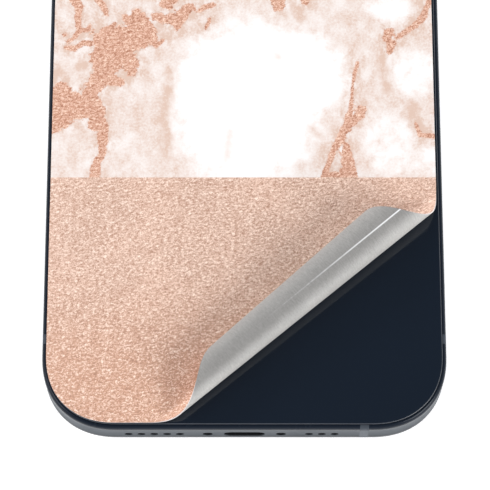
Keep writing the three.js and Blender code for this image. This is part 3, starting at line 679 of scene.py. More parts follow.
def side_openings(flare):
    """The cutters of the sides: keys, ringer switch and card tray."""
    wall = 2.3 * MM
    cutters = []
    for node, gap in (*((key, 0.12 * MM) for key in KEYS), ("card_tray", 0.07 * MM)):
        half = half_size(node) + gap
        inward = 1 if middle(node)[0] < 0 else -1
        face = -inward * HALF[0]
        cutters.append(
            flared_capsule(half[1], half[2], middle(node)[1:], face, inward, wall, 0.5 * flare, side_ring)
        )
    node, gap = "ringer_switch", 0.12 * MM
    half = half_size(node)
    reach = frame_travel("ringer_slide") / 2
    centre = (middle(node)[1], middle(node)[2] + reach)

    def slot_at(grow):
        return rounded(half[1] + gap + grow, half[2] + reach + gap + grow, 0.5 * MM + grow, 2.0, 6)

    cutters.append(flared_hole(slot_at, centre, HALF[0], -1, wall, 0.5 * flare, side_ring))
    return cutters


def frame_travel(joint):
    """How far a sliding joint goes from rest."""
    for entry in frame["record"]["behaviour"]["joints"]:
        if entry["name"] == joint:
            return entry["range_m"][1]
    raise ValueError(f"the record has no joint named {joint}")


INSERTS = [node for node in frame["nodes"] if node.startswith("antenna_insert")]
INSERT_DEPTH = 1.27 * MM
BAND_DEPTH = 2.0 * MM
WEB_INSET = 1.9 * MM
WEB_HEIGHTS = (1.95 * MM, 2.45 * MM)
# Half width, start and end of the web's notches for the charging port and the front camera.
WEB_NOTCHES = ((6.5 * MM, -HALF[1], -61 * MM), (14 * MM, 61 * MM, HALF[1] - 3 * MM))


def insert_faces(node):
    """The axis along which an insert faces out of the band, and the way along it."""
    centre = middle(node)
    axis = 1 if abs(centre[1]) > HALF[1] - 2 * MM else 0
    return axis, math.copysign(1, centre[axis])


def straight_insert(node, section):
    """The band's own section, run straight along the stretch that the insert fills."""
    axis, way = insert_faces(node)
    inset, height = np.array(section).T
    rings = []
    for stop in (low(node)[1 - axis], high(node)[1 - axis]):
        ring = [way * (HALF[axis] - inset), np.full(len(section), stop)]
        rings.append(np.column_stack([*(ring if axis == 0 else ring[::-1]), height]))
    return loft(rings)


def darken(obj, cutters, look, lip=0.1 * MM, slack=0.02 * MM):
    """Gives the walls that the cutters left, deeper than a lip, the given look: painted shade, near-black,
    inside the openings.
    """
    obj.data.materials.append(look)
    bound = np.array([*(HALF[:2] - lip), np.inf])
    spans = []
    for points, _ in cutters:
        near, far = np.maximum(points.min(axis=0), -bound), np.minimum(points.max(axis=0), bound)
        spans.append((near - slack, far + slack))
    for face in obj.data.polygons:
        centre = np.array(face.center)
        if any((near < centre).all() and (centre < far).all() for near, far in spans):
            face.material_index = 1


class PHONE_OT_band(bpy.types.Operator):
    """Makes the metal band with its openings, the web inside it and the antenna inserts"""

    bl_idname = "phone.band"
    bl_label = "Band"

    def execute(self, context):
        settings = context.scene.phone_band
        look = band_metal(settings)
        section = band_section(BAND_DEPTH, settings.edge)
        outline = section_curve("band_outline", phone_outline())
        # The sweep puts a section's x outwards and its y downwards.
        profile = section_curve("band_profile", [(-inset, -height) for inset, height in section])
        band = grown("band", sweep_tree(look), {"Outline": outline, "Section": profile})
        for helper in (outline, profile):
            bpy.data.objects.remove(helper)
        tidy(band)
        smooth(band)
        slots = []
        for node in INSERTS:
            axis, way = insert_faces(node)
            reach = half_size(node) + 0.01 * MM
            reach[2] += MM
            corners = [middle(node) - reach, middle(node) + reach]
            corners[way > 0][axis] += way * MM
            slots.append(box_shape(*corners))
        cutters = end_openings(settings.flare) + side_openings(settings.flare)
        carve(band, slots + cutters)
        darken(band, cutters, opening_dark())
        settle(band, "phone", "band_metal", "frame")

        plate = phone_outline(WEB_INSET)
        web = solid("band_web", loft([flat_ring(plate, height) for height in WEB_HEIGHTS]), [look])
        notches = []
        for half_wide, start, end in WEB_NOTCHES:
            notches.append(box_shape((-half_wide, start, MM), (half_wide, end, 3 * MM)))
        settle(carve(web, notches), "phone", "band_metal")

        insert = band_section(INSERT_DEPTH, settings.edge)
        for node in INSERTS:
            piece = solid(f"{node}_strip", straight_insert(node, insert), [insert_plastic(settings)])
            settle(piece, "phone", "insert_plastic", node)
        return {"FINISHED"}


# ------------------------------------------------------------------ glass


def dark_glass(name, base, sheen):
    """Deep coloured glass under a clear surface, with the faintest handling marks."""

    def dress(w):
        place = w.place()
        return {
            "Base Color": w.mix(w.noise(place, 22.0, 2.0), [0.8 * c for c in base], [1.2 * c for c in base]),
            "Roughness": w.times(w.marks(place, 45.0), 0.08, 0.09),
            "Normal": w.bump(w.noise(place, 300.0, 1.0), 0.02, 0.00002),
            "IOR": 1.5,
            "Specular IOR Level": sheen,
        }

    return material(name, dress)


@finish("Display Glass")
def display_glass(w):
    """The unlit display: a black border, a slightly lighter active area and the camera's dark ring."""
    border, corner = 3.0 * MM, 9.0 * MM
    place = w.place()
    parts = w.split(place)
    past = []
    for axis in (0, 1):
        inside = w.math("SUBTRACT", HALF[axis] - border - corner, w.math("ABSOLUTE", parts[axis]))
        past.append(w.math("POWER", w.math("MAXIMUM", w.times(inside, -1.0), 0.0), 2.0))
    active = w.span(w.math("SQRT", w.math("ADD", *past)), corner, corner - 0.1 * MM)
    eye = middle("front_camera")
    offset = w.vector("SUBTRACT", place, (eye[0], eye[1], 0.0))
    away = w.length(w.vector("MULTIPLY", offset, (1.0, 1.0, 0.0)))
    active = w.times(active, w.span(away, 2.4 * MM, 2.5 * MM))
    lit = w.mix(w.noise(place, 2600.0, 1.0), (0.007, 0.008, 0.011), (0.011, 0.012, 0.016))
    tone = w.mix(active, (0.002, 0.002, 0.0025), lit)
    return {
        "Base Color": w.mix(w.span(away, 0.9 * MM, 0.8 * MM), tone, (0.01, 0.012, 0.03)),
        "Roughness": w.times(w.marks(place), 0.1, 0.05),
        "IOR": 1.5,
    }


def pane(node, outer, rim, steps=6):
    """A sheet of glass whose outline is outer(inset), with rounded edges of that radius."""
    bottom, top = low(node)[2], high(node)[2]
    turns = np.radians(np.linspace(0, 90, steps + 1))
    rings = [flat_ring(outer(2.5 * rim), bottom)]
    rings += [flat_ring(outer(rim * (1 - math.sin(t))), bottom + rim * (1 - math.cos(t))) for t in turns]
    rings += [flat_ring(outer(rim * (1 - math.sin(t))), top - rim * (1 - math.cos(t))) for t in turns[::-1]]
    rings.append(flat_ring(outer(2.5 * rim), top))
    return loft(rings)


def painted_edge_highlight(obj):
    """Gives a pane's rounded rim a paler colour: a painted highlight along the glass edge."""
    obj.data.materials.append(coated("Ground Edge", (0.04, 0.045, 0.056), 0.3, 0.0, 3000.0, 0.05, 0.15))
    for face in obj.data.polygons:
        if 0.2 < face.normal.z < 0.985:
            face.material_index = 1


def plate_outline(grow=0.0, steps=16):
    half = half_size("camera_plate")
    return rounded(half[0] + grow, half[1] + grow, PLATE_REACH + grow, CORNER_EXPONENT, steps)


def plate_opening(grow, bottom, top):
    centre = middle("camera_plate")
    return loft([flat_ring(plate_outline(grow), height, centre) for height in (bottom, top)])


class PHONE_OT_glass(bpy.types.Operator):
    """Makes the display's cover glass and the dark back glass, with rounded edges"""

    bl_idname = "phone.glass"
    bl_label = "Glass"

    def execute(self, context):
        def outline(inset):
            return phone_outline(GLASS_INSET + inset)

        glass = dark_glass("Back Glass", (0.0045, 0.0093, 0.018), 0.55)
        back = solid("back_pane", pane("back_glass", outline, 0.2 * MM), [glass])
        carve(back, [plate_opening(0.1 * MM, BACK - 2 * MM, BACK + MM)])
        # Painted highlight on the back pane's rounded rim.
        painted_edge_highlight(back)
        settle(back, "phone", "back_glass", "back_glass")

        front = solid("display_pane", pane("cover_glass", outline, 0.25 * MM), [display_glass()])
        slit = half_size("earpiece_mesh") + 0.05 * MM
        centre = middle("earpiece_mesh")
        cut = loft([flat_ring(capsule(slit[0], slit[1]), height, centre) for height in (-MM, 2 * MM)])
        settle(carve(front, [cut]), "phone", "cover_glass", "cover_glass")
        return {"FINISHED"}


# ------------------------------------------------------------------ the printed skin

# Rose veins as strokes of (x, y, half width) in millimetres, listed one by one.
VEINS = (
    ((-19.9, 5.6, 0.6), (-19.9, 4.2, 1.5), (-19.0, 2.2, 2.3), (-18.4, 0.7, 1.7)),
    ((-21.9, 4.5, 0.5), (-20.0, 3.6, 1.2)),
    ((-19.0, 1.2, 2.3), (-22.6, -0.5, 2.7), (-25.6, -0.3, 2.2)),
    ((-25.0, -1.0, 2.7), (-24.9, -4.2, 2.9), (-26.1, -7.0, 2.0), (-27.0, -9.0, 1.3), (-28.8, -10.8, 0.9)),
    ((-22.8, -2.2, 2.4), (-20.9, -4.6, 1.5), (-20.5, -6.2, 0.7), (-21.2, -6.9, 0.2)),
    ((-25.0, -7.3, 1.4), (-22.8, -8.3, 0.7)),
    ((-17.2, 0.4, 0.9), (-16.3, -1.1, 0.3), (-14.8, 0.0, 0.15)),
    ((-16.8, 4.7, 0.5), (-14.6, 4.1, 0.75), (-12.3, 4.2, 0.7), (-11.2, 5.2, 1.0), (-10.2, 6.6, 0.8)),
    ((-11.9, 4.2, 0.9), (-12.4, 2.2, 0.3)),
    ((-14.6, 7.4, 0.9), (-13.8, 6.6, 0.5)),
    ((-8.4, 5.7, 0.15), (-7.2, 6.7, 0.35), (-5.6, 7.0, 0.3)),
    ((-6.4, 4.2, 0.2), (-7.2, 2.2, 0.12)),
    ((-23.8, 3.4, 0.15), (-24.6, 2.4, 0.5), (-25.6, 1.6, 0.9)),
    ((-28.2, -13.3, 2.2), (-31.5, -13.0, 2.8), (-35.5, -13.6, 4.2)),
    ((-33.0, -9.6, 1.0), (-32.0, -11.8, 1.6)),
    ((-27.3, -13.4, 1.6), (-26.7, -15.8, 1.6), (-26.0, -17.0, 1.1)),
    ((-35.5, -17.2, 1.2), (-32.4, -15.0, 1.6)),
    (
        (-25.7, -17.5, 0.9), (-25.8, -20.0, 0.7), (-25.6, -22.4, 0.45),
        (-26.7, -24.0, 0.45), (-27.1, -27.0, 0.9),
    ),
    (
        (-31.6, 8.4, 0.9), (-30.4, 6.8, 0.6), (-30.6, 4.0, 0.4),
        (-30.4, 2.0, 0.3), (-31.2, 0.6, 0.25), (-32.4, -0.4, 0.2),
    ),
    ((-30.4, 2.0, 0.25), (-28.8, 2.0, 0.25), (-28.4, 3.0, 0.15)),
    ((-32.7, -1.5, 0.25), (-31.2, -1.7, 0.35), (-29.4, -0.5, 0.25), (-28.0, -0.9, 0.5)),
    ((-33.2, 0.9, 0.2), (-33.0, 1.3, 0.2)),
    ((-27.0, 8.4, 0.6), (-26.0, 6.8, 0.35), (-25.4, 5.0, 0.2)),
    ((20.8, -4.4, 0.12), (20.2, -6.4, 0.14), (19.8, -9.0, 0.06), (19.6, -11.8, 0.12), (19.3, -14.2, 0.25)),
    (
        (19.3, -14.2, 0.3), (18.6, -16.8, 0.75), (17.6, -19.2, 0.65),
        (16.1, -21.6, 0.35), (15.4, -24.0, 0.25), (14.2, -27.0, 0.4),
    ),
    ((21.3, -13.7, 0.6), (21.0, -14.8, 0.8), (19.4, -16.4, 0.5)),
    ((18.5, -20.6, 0.35), (18.8, -23.0, 0.85), (18.6, -25.6, 1.3), (18.2, -27.2, 1.9)),
    ((15.0, -26.4, 0.3), (17.5, -26.2, 0.4)),
    (
        (34.8, 8.6, 0.4), (33.6, 6.4, 0.35), (33.1, 4.6, 0.5),
        (31.4, 3.0, 0.4), (29.9, 1.9, 0.35), (28.3, 0.6, 0.35),
    ),
    ((26.6, 1.4, 0.75), (26.2, 0.2, 0.5), (26.9, -0.6, 0.7), (26.6, -2.3, 0.35)),
    ((31.2, -16.4, 0.12), (31.9, -18.7, 0.2), (33.4, -18.8, 0.25), (35.0, -19.1, 0.35)),
    ((6.2, 7.6, 1.1), (6.4, 6.8, 0.9)),
    ((11.4, 9.0, 0.8), (11.2, 7.6, 0.5)),
    # The upper half.
    ((-31.6, 8.4, 0.9), (-33.0, 13.0, 1.6), (-29.0, 20.0, 0.8), (-30.5, 28.0, 0.4)),
    ((-14.6, 7.4, 0.9), (-11.0, 12.0, 1.6), (-12.0, 20.0, 2.4), (-17.0, 27.0, 1.2), (-27.0, 33.0, 1.5)),
    ((-27.0, 33.0, 1.5), (-35.0, 35.0, 1.8)),
    ((34.8, 8.6, 0.8), (30.0, 16.0, 0.8), (27.0, 24.0, 1.9), (29.0, 33.0, 0.5), (35.0, 40.0, 1.3)),
    ((27.0, 24.0, 1.6), (16.0, 29.0, 0.6), (9.0, 37.0, 1.8), (10.0, 47.0, 0.5), (19.0, 56.0, 2.1)),
    ((19.0, 56.0, 2.1), (24.0, 64.0, 0.9), (21.0, 73.0, 1.5)),
    ((9.0, 37.0, 1.6), (-1.0, 42.0, 0.6), (-4.0, 52.0, 1.0), (-2.0, 63.0, 0.4)),
)
# Faint veins that only tint the marble.
SHADES = (
    ((-13.8, -6.0, 0.1), (-13.9, -11.0, 0.4), (-14.8, -15.0, 0.2), (-13.9, -18.5, 0.3), (-14.1, -22.5, 0.3)),
    ((6.1, -3.2, 0.35), (6.2, -3.4, 0.35)),
    ((30.6, -12.6, 0.4), (31.2, -16.6, 0.3)),
    ((25.1, -3.8, 0.3), (25.4, -7.0, 0.3), (26.0, -9.6, 0.2)),
    ((9.4, 6.0, 0.5), (10.6, 4.4, 0.5)),
    ((12.0, -17.0, 0.2), (13.2, -18.6, 0.3)),
    ((-2.6, -18.0, 0.2), (-3.2, -23.0, 0.3)),
    ((-35.0, -7.0, 0.6), (-34.0, -6.4, 0.2)),
    ((-30.6, -5.2, 0.3), (-29.6, -5.0, 0.2)),
    ((2.0, 21.0, 1.2), (8.0, 24.0, 0.8), (15.0, 20.0, 0.4)),
)
# Clear white areas as ellipses of (x, y, half width, half height, cloud left in the middle).
CLEARINGS = (
    (0.5, -12.5, 13.0, 16.0, 0.0),
    (8.0, -7.0, 10.5, 9.0, 0.0),
    (31.0, -6.5, 4.4, 4.8, 0.4),
    (26.0, -20.5, 5.5, 5.5, 0.5),
    (33.0, -23.5, 3.0, 3.5, 0.5),
    (27.0, 6.0, 4.0, 3.0, 0.35),
    (0.0, 30.0, 8.0, 6.0, 0.1),
    (24.0, 47.0, 6.0, 8.0, 0.1),
    (3.0, 62.0, 7.0, 8.0, 0.1),
    (-24.0, 24.0, 6.0, 7.0, 0.2),
)


def stroke_distance(points, strokes):
    """How far each point is outside the nearest stroke, negative within it, and that stroke's half width."""
    best = np.full(len(points), 1e3)
    broad = np.zeros(len(points))
    for stroke in strokes:
        for start, end in zip(stroke, stroke[1:]):
            a, b = np.array(start[:2]), np.array(end[:2])
            along = np.clip((points - a) @ (b - a) / max((b - a) @ (b - a), 1e-9), 0, 1)
            near = a + along[:, None] * (b - a)
            width = start[2] + along * (end[2] - start[2])
            away = np.linalg.norm(points - near, axis=1) - width
            broad = np.where(away < best, width, broad)
            best = np.minimum(best, away)
    return best, broad


def stroke_points(strokes, step=0.55):
    """Points along the strokes' middles and sides, so a mesh can follow thin ones."""
    points = []
    for stroke in strokes:
        for start, end in zip(stroke, stroke[1:]):
            a, b = np.array(start[:2]), np.array(end[:2])
            run = np.linalg.norm(b - a)
            side = np.array([a[1] - b[1], b[0] - a[0]]) / max(run, 1e-9)
            for share in np.arange(0, 1, step / max(run, step)):
                width = start[2] + share * (end[2] - start[2])
                reaches = (0.0, width, -width) if width > 0.35 else (0.0, width + 0.3, -width - 0.3)
                points += [a + share * (b - a) + side * reach for reach in reaches]
    return np.array(points)


def cloudiness(points):
    """0 in the clear white areas, rising to 1 away from them."""
    cover = np.ones(len(points))
    for x, y, half_x, half_y, left in CLEARINGS:
        reach = np.hypot((points[:, 0] - x) / half_x, (points[:, 1] - y) / half_y)
        rise = np.clip((reach - 0.6) / 0.75, 0, 1)
        cover = np.minimum(cover, left + (1 - left) * rise * rise * (3 - 2 * rise))
    return cover


@finish("Printed Film")
def skin_print(w, settings):
    """Marble with rose veins above, pressed rose leather below."""
    film = w.stored("film", "Vector")
    vein, broad, shade, cloud = (w.stored(name) for name in ("vein", "broad", "shade", "cloud"))
    bays = w.math("SUBTRACT", w.noise(film, 0.42, 4.0, 0.6, 0.2), 0.5)
    ragged = w.math("SUBTRACT", w.noise(film, 1.2, 4.0, 0.7), 0.5)
    crumbs = w.math("SUBTRACT", w.noise(film, 3.0, 3.0, 0.7), 0.5)
    freedom = w.span(broad, 0.1, 1.6, 0.12, 1.0, smooth=False)
    rough_edge = w.times(bays, 3.4, w.times(ragged, 2.6))
    edge = w.times(rough_edge, freedom, vein)
    edge = w.times(crumbs, 0.7, edge)
    foil_mask = w.span(edge, 0.34, 0.08)
    halo = w.span(edge, 2.6, -0.2)

    drift = w.noise(film, 0.17, 3.0, 0.6, 0.5)
    veils = w.noise(w.vector("MULTIPLY", film, (0.9, 0.6, 1.0)), 0.6, 4.5, 0.62)
    speckle = w.span(w.noise(film, 2.4, 2.0, 0.7), 0.3, 0.7, 0.72, 1.28, smooth=False)
    tint = w.times(w.span(drift, 0.36, 0.64), 0.24, 0.40)
    tint = w.times(w.span(veils, 0.38, 0.68), 0.26, tint)
    ragged_cloud = w.span(w.times(bays, 1.3, cloud), 0.08, 1.05)
    tint = w.times(tint, ragged_cloud)
    tint = w.times(w.times(halo, w.span(veils, 0.35, 0.6)), 0.34, tint)
    faint = w.span(w.times(ragged, 2.4, shade), 1.3, -0.5)
    tint = w.times(faint, 0.42, tint)
    tint = w.math("MINIMUM", w.times(tint, speckle), 1.0)
    marble = w.mix(tint, tuple(settings.white), tuple(settings.blush))

    mottled = w.noise(film, 0.07, 4.0, 0.55)
    lighter = [min(1.0, 1.07 * c) for c in settings.leather]
    darker = [0.93 * c for c in settings.leather]
    tone = w.mix(w.span(mottled, 0.3, 0.7), darker, lighter)
    rosier = [share * c for share, c in zip((0.93, 0.80, 0.72), settings.leather)]
    y = w.split(film)["Y"]
    tone = w.mix(w.span(y, -42.0, -66.0), tone, rosier)
    foil = pressed_hide(w, film, tuple(settings.foil), (0.40, 0.17, 0.10), (0.93, 0.70, 0.56))[0]
    leather, height = pressed_hide(w, film, tone, (0.45, 0.25, 0.175), (1.0, 0.80, 0.68))

    upper = w.mix(foil_mask, marble, foil)
    border = settings.leather_edge / MM
    below = w.span(y, border + 0.04, border - 0.04)
    grained = w.math("MAXIMUM", below, foil_mask)
    relief = w.times(height, w.times(grained, 0.85, 0.15))
    return {
        "Base Color": w.mix(below, upper, leather),
        "Roughness": w.span(grained, 0.0, 1.0, 0.58, 0.5, smooth=False),
        "Metallic": w.times(grained, 0.1),
        "Normal": w.bump(relief, 0.3, 0.00006),
        "Specular IOR Level": 0.15,
    }


@finish("Film Backing")
def skin_backing(w, settings):
    """The adhesive side: pale grey, drawn into fine streaks across the roll, with painted light and shade
    round the roll and one painted highlight line along it.
    """
    roll = w.stored("roll", "Vector")
    parts = w.split(roll)
    run, turn = parts["X"], parts["Z"]
    flat = w.vector("MULTIPLY", roll, (1.0, 1.0, 0.0))
    streaks = w.noise(w.vector("MULTIPLY", flat, (2.6, 0.5, 1.0)), 1.6, 4.0, 0.72)
    fuzz = w.noise(flat, 4.0, 2.0, 0.7)
    broad = w.noise(w.vector("MULTIPLY", flat, (0.35, 0.12, 1.0)), 0.6, 3.0)
    tone = w.math("ADD", w.times(streaks, 0.5), w.times(fuzz, 0.3))
    tone = w.times(broad, 0.2, tone)
    darker = [0.80 * c for c in settings.backing]
    lighter = [min(1.0, 1.22 * c) for c in settings.backing]
    base = w.mix(w.span(tone, 0.34, 0.66, smooth=False), darker, lighter)
    # Painted light and shade: the roll is made palest low on its outer side and darkest where it turns over,
    # as the lights would shade it.
    pale = w.times(w.span(turn, 2.75, 2.05), 0.50, 0.80)
    pale = w.times(w.span(turn, 3.0, 3.9), 0.17, pale)
    base = w.mix(1.0, base, pale, "MULTIPLY")
    # Painted highlight: a thin bright line at a fixed turn of the roll, growing along its run and broken by
    # noise; the crease mask below is this highlight and whitens the colour.
    share = w.span(run, settings.highlight_start / MM, settings.highlight_end / MM, smooth=False)
    line = w.math("SUBTRACT", turn, w.span(share, 0.0, 1.0, 3.14, 2.92, smooth=False))
    broken = w.noise(w.vector("MULTIPLY", flat, (1.0, 0.0, 0.0)), 0.9, 4.0, 0.7)
    kept = w.times(share, 0.8, w.math("SUBTRACT", broken, 0.55))
    kept = w.times(w.span(kept, 0.05, 0.5), w.span(share, 0.3, 0.95, 0.12, 0.95))
    crease = w.times(w.span(w.math("ABSOLUTE", line), 0.05, 0.012), kept)
    return {
        "Base Color": w.mix(crease, base, grey(0.88)),
        "Roughness": w.span(fuzz, 0.0, 1.0, 0.46, 0.58, smooth=False),
        "Normal": w.bump(tone, 0.4, 0.00006),
        "Specular IOR Level": 0.12,
    }


def skin_edge():
    """The film's cut edge: pale vinyl with the print's pink in it."""
    return coated("Film Edge", (0.72, 0.66, 0.64), 0.4, scale=6000.0, shift=0.12)


def within(points, centre, half, reach):
    """Which points lie inside a rounded rectangle."""
    offset = np.abs(points - centre)
    into = np.maximum(offset - (half - reach), 0) / reach
    return (offset < half).all(axis=1) & ((into**CORNER_EXPONENT).sum(axis=1) <= 1)


class Film:
    """The skin's flat cut, and where each of its points goes as its corner rolls up on a cone."""

    def __init__(self, settings):
        self.settings = settings
        bottom, top = low("skin_flat"), high("skin_flat")
        self.thickness = top[2] - bottom[2]
        self.centre = (bottom[:2] + top[:2]) / 2
        self.half = (top[:2] - bottom[:2]) / 2
        self.reach = CORNER_REACH - (HALF[1] - top[1])
        side = np.array([top[0], settings.peel_side])
        end = np.array([settings.peel_end, bottom[1]])
        run = np.linalg.norm(side - end)
        self.along = (side - end) / run
        self.across = np.array([self.along[1], -self.along[0]])
        # The roll's lines meet at the cone's tip, beyond the narrow end.
        tip_to_end = run * settings.roll_end / (settings.roll_side - settings.roll_end)
        self.tip = end - self.along * tip_to_end
        self.middle_run = tip_to_end + run / 2
        self.slope = settings.roll_end / tip_to_end
        self.wind()

    def wind(self, steps=1400, furthest=0.24, tighten=0.015):
        """Follows the film round the cone: each direction from the tip, and the film's normal there."""
        step = furthest / steps
        line = np.array([*self.along, 0.0])
        out = np.array([*self.across, 0.0])
        lines, normals = [line], [np.array([0.0, 0.0, 1.0])]
        turn = 0.0
        turns = [0.0]
        for index in range(steps):
            run = (index + 0.5) * step * self.middle_run
            rate = 1 / math.tan(math.asin(self.slope * (1 - tighten * turn)))
            rate *= min(1.0, run / max(self.settings.lift, 1e-6))
            normal = -np.cross(line, out)
            line, out = line + out * step, out + (-line + rate * normal) * step
            line /= np.linalg.norm(line)
            out -= (out @ line) * line
            out /= np.linalg.norm(out)
            turn += rate * step
            turns.append(turn)
            lines.append(line)
            normals.append(-np.cross(line, out))
        self.angles = np.arange(steps + 1) * step
        self.lines, self.normals, self.turns = np.array(lines), np.array(normals), np.array(turns)

    def polar(self, points):
        """Distance from the cone's tip and angle past the peel line."""
        offset = points - self.tip
        return np.linalg.norm(offset, axis=1), np.arctan2(offset @ self.across, offset @ self.along)

    def bend(self, points, height):
        """Where flat points go, at a height above the film's underside."""
        run, angle = self.polar(points)
        line, normal = (
            np.stack([np.interp(angle, self.angles, table[:, k]) for k in range(3)], axis=1)
            for table in (self.lines, self.normals)
        )
        line /= np.linalg.norm(line, axis=1)[:, None]
        normal /= np.linalg.norm(normal, axis=1)[:, None]
        rolled = line * run[:, None] + np.array([*self.tip, BACK]) + normal * height
        flat = np.column_stack([points, np.full(len(points), BACK + height)])
        return np.where((angle > 0)[:, None], rolled, flat)

    def kept(self, points, margin, grow):
        """Which points lie within the cut by a margin, and outside the opening grown by that much."""
        half = half_size("camera_plate")[:2] + grow
        cut_out = within(points, middle("camera_plate")[:2], half, PLATE_REACH + grow)
        return within(points, self.centre, self.half - margin, self.reach - margin) & ~cut_out

    def border(self):
        """The cut's outline, finely divided where it rolls."""
        corners = rounded(*self.half, self.reach, CORNER_EXPONENT, 40) + self.centre
        return divided(corners, lambda point: 0.3 * MM if self.polar(point[None])[1][0] > -0.01 else 1.0 * MM)

    def opening(self):
        return plate_outline(OPENING_GAP, 20) + middle("camera_plate")[:2]

    def lattice(self):
        """Inner points: a square grid where the film is flat, and the cone's own lines where it rolls."""
        step = 0.75 * MM
        x = np.arange(self.centre[0] - self.half[0], self.centre[0] + self.half[0], step)
        y = np.arange(self.centre[1] - self.half[1], self.centre[1] + self.half[1], step)
        grid = np.stack(np.meshgrid(x, y), axis=2).reshape(-1, 2)
        grid = grid[self.polar(grid)[1] < -0.5 * step / self.middle_run]
        run = np.arange(self.middle_run - 40 * MM, self.middle_run + 40 * MM, 1.1 * MM)
        angle = np.arange(0.0, self.angles[-1], 0.27 * MM / self.middle_run)
        runs, angles = (part.ravel() for part in np.meshgrid(run, angle))
        rolled = self.tip + runs[:, None] * (
            np.cos(angles)[:, None] * self.along + np.sin(angles)[:, None] * self.across
        )
        strokes = stroke_points(VEINS + SHADES) * MM
        strokes = strokes[self.polar(strokes)[1] < -step / self.middle_run]
        points = np.concatenate([grid, rolled, strokes])
        return points[self.kept(points, 0.22 * MM, OPENING_GAP + 0.3 * MM)]

    def triangles(self):
        """The flat cut as points and triangles."""
        border, opening, inner = self.border(), self.opening(), self.lattice()
        points = np.concatenate([border, opening, inner])
        loops = []
        for start, count in ((0, len(border)), (len(border), len(opening))):
            loops += [(start + place, start + (place + 1) % count) for place in range(count)]
        scale = 1000.0
        made = delaunay_2d_cdt([Vector(point * scale) for point in points], loops, [], 1, 1e-5)
        flat = np.array([tuple(point) for point in made[0]]) / scale
        faces = np.array(made[2])
        centres = flat[faces].mean(axis=1)
        keep = self.kept(centres, 0.0, OPENING_GAP)
        a, b, c = (flat[faces[:, k]] for k in range(3))
        turn = (b - a)[:, 0] * (c - a)[:, 1] - (b - a)[:, 1] * (c - a)[:, 0]
        faces[turn < 0] = faces[turn < 0][:, ::-1]
        return flat, faces[keep & (np.abs(turn) > 1e-14)]


def divided(loop, step_at):
    """The loop again, with its long stretches divided into steps."""
    points = []
    for start, end in zip(loop, np.roll(loop, -1, axis=0)):
        pieces = max(1, math.ceil(np.linalg.norm(end - start) / step_at((start + end) / 2)))
        points += [start + (end - start) * index / pieces for index in range(pieces)]
    return np.array(points)


class PHONE_OT_skin(bpy.types.Operator):
    """Makes the printed skin as one film, its corner rolled up off the glass"""

    bl_idname = "phone.skin"
    bl_label = "Skin"

    def execute(self, context):
        settings = context.scene.phone_skin
        film = Film(settings)
        flat, faces = film.triangles()
        used, faces = np.unique(faces, return_inverse=True)
        flat, faces = flat[used], faces.reshape(-1, 3)
        count = len(flat)
        points = np.concatenate([film.bend(flat, 0.0), film.bend(flat, film.thickness)])
        edges = np.concatenate([faces[:, [0, 1]], faces[:, [1, 2]], faces[:, [2, 0]]])
        _, index, uses = np.unique(np.sort(edges, axis=1), axis=0, return_index=True, return_counts=True)
        rim = edges[index[uses == 1]]
        walls = np.column_stack([rim[:, 0], rim[:, 1], rim[:, 1] + count, rim[:, 0] + count])
        polygons = [*(faces + count).tolist(), *faces[:, ::-1].tolist(), *walls.tolist()]

        mesh = bpy.data.meshes.new("printed_skin")
        mesh.from_pydata(points.tolist(), [], polygons)
        for look in (skin_print(settings), skin_backing(settings), skin_edge()):
            mesh.materials.append(look)
        kinds = np.repeat([0, 1, 2], [len(faces), len(faces), len(walls)])
        mesh.polygons.foreach_set("material_index", kinds.astype(np.int32))
        in_mm = flat / MM
        twice = np.concatenate([in_mm, in_mm])
        vein, broad = stroke_distance(twice, VEINS)
        run, angle = film.polar(flat)
        turn = np.interp(angle, film.angles, film.turns)
        roll = np.column_stack([run / MM, angle * film.middle_run / MM, turn])
        stored = {
            "film": np.column_stack([twice, np.zeros(2 * count)]),
            "vein": vein,
            "broad": broad,
            "shade": stroke_distance(twice, SHADES)[0],
            "cloud": cloudiness(twice),
            "roll": np.concatenate([roll, roll]),
        }
        for title, values in stored.items():
            kind, field = ("FLOAT", "value") if values.ndim == 1 else ("FLOAT_VECTOR", "vector")
            attribute = mesh.attributes.new(title, kind, "POINT")
            attribute.data.foreach_set(field, values.astype(np.float32).ravel())
        skin = bpy.data.objects.new("printed_skin", mesh)
        context.scene.collection.objects.link(skin)
        smooth(skin, 50.0)
        settle(skin, "phone", "skin_film", "skin_flat", "skin_curl")

        return {"FINISHED"}


# ------------------------------------------------------------------ cameras


@finish("Lens Glass")
def lens_glass(w):
    place = w.place()
    depth = w.noise(place, 120.0, 2.0)
    marks = w.noise(place, 500.0, 2.0)
    return {
        "Base Color": w.mix(depth, (0.002, 0.003, 0.006), (0.008, 0.008, 0.02)),
        "Roughness": w.span(marks, 0.4, 0.8, 0.03, 0.09),
        "IOR": 1.6,
        "Coat Weight": 0.6,
        "Coat Tint": (0.6, 0.7, 1.0, 1.0),
    }


@finish("Clear Cover")
def clear_cover(w):
    place = w.place()
    marks = w.noise(place, 400.0, 2.0)
    return {
        "Base Color": w.mix(marks, (0.92, 0.95, 1.0), (0.99, 1.0, 1.0)),
        "Roughness": w.span(marks, 0.4, 0.8, 0.0, 0.03),
        "IOR": 1.5,
        "Transmission Weight": 1.0,
    }


@finish("Flash Lens")
def flash_lens(w):
    """A ribbed yellowish lens over the lamp."""
    place = w.vector("SUBTRACT", w.place(), tuple(middle("flash_window")))
    away = w.length(place)
    rings = w.math("SINE", w.times(away, 2 * math.pi / (0.22 * MM)))
    lamp = w.span(away, 1.0 * MM, 0.6 * MM)
    body = w.mix(w.span(rings, -1.0, 1.0), (0.62, 0.60, 0.52), (0.82, 0.80, 0.70))
    return {
        "Base Color": w.mix(lamp, body, (0.85, 0.72, 0.28)),
        "Roughness": w.span(rings, -1.0, 1.0, 0.15, 0.25),
        "Normal": w.bump(rings, 0.4, 0.00006),
    }


# A turned shape stops this far from its axis.
AXIS_GAP = 0.02 * MM
BEZEL_BORE, BEZEL_EDGE = 4.7 * MM, 0.35 * MM


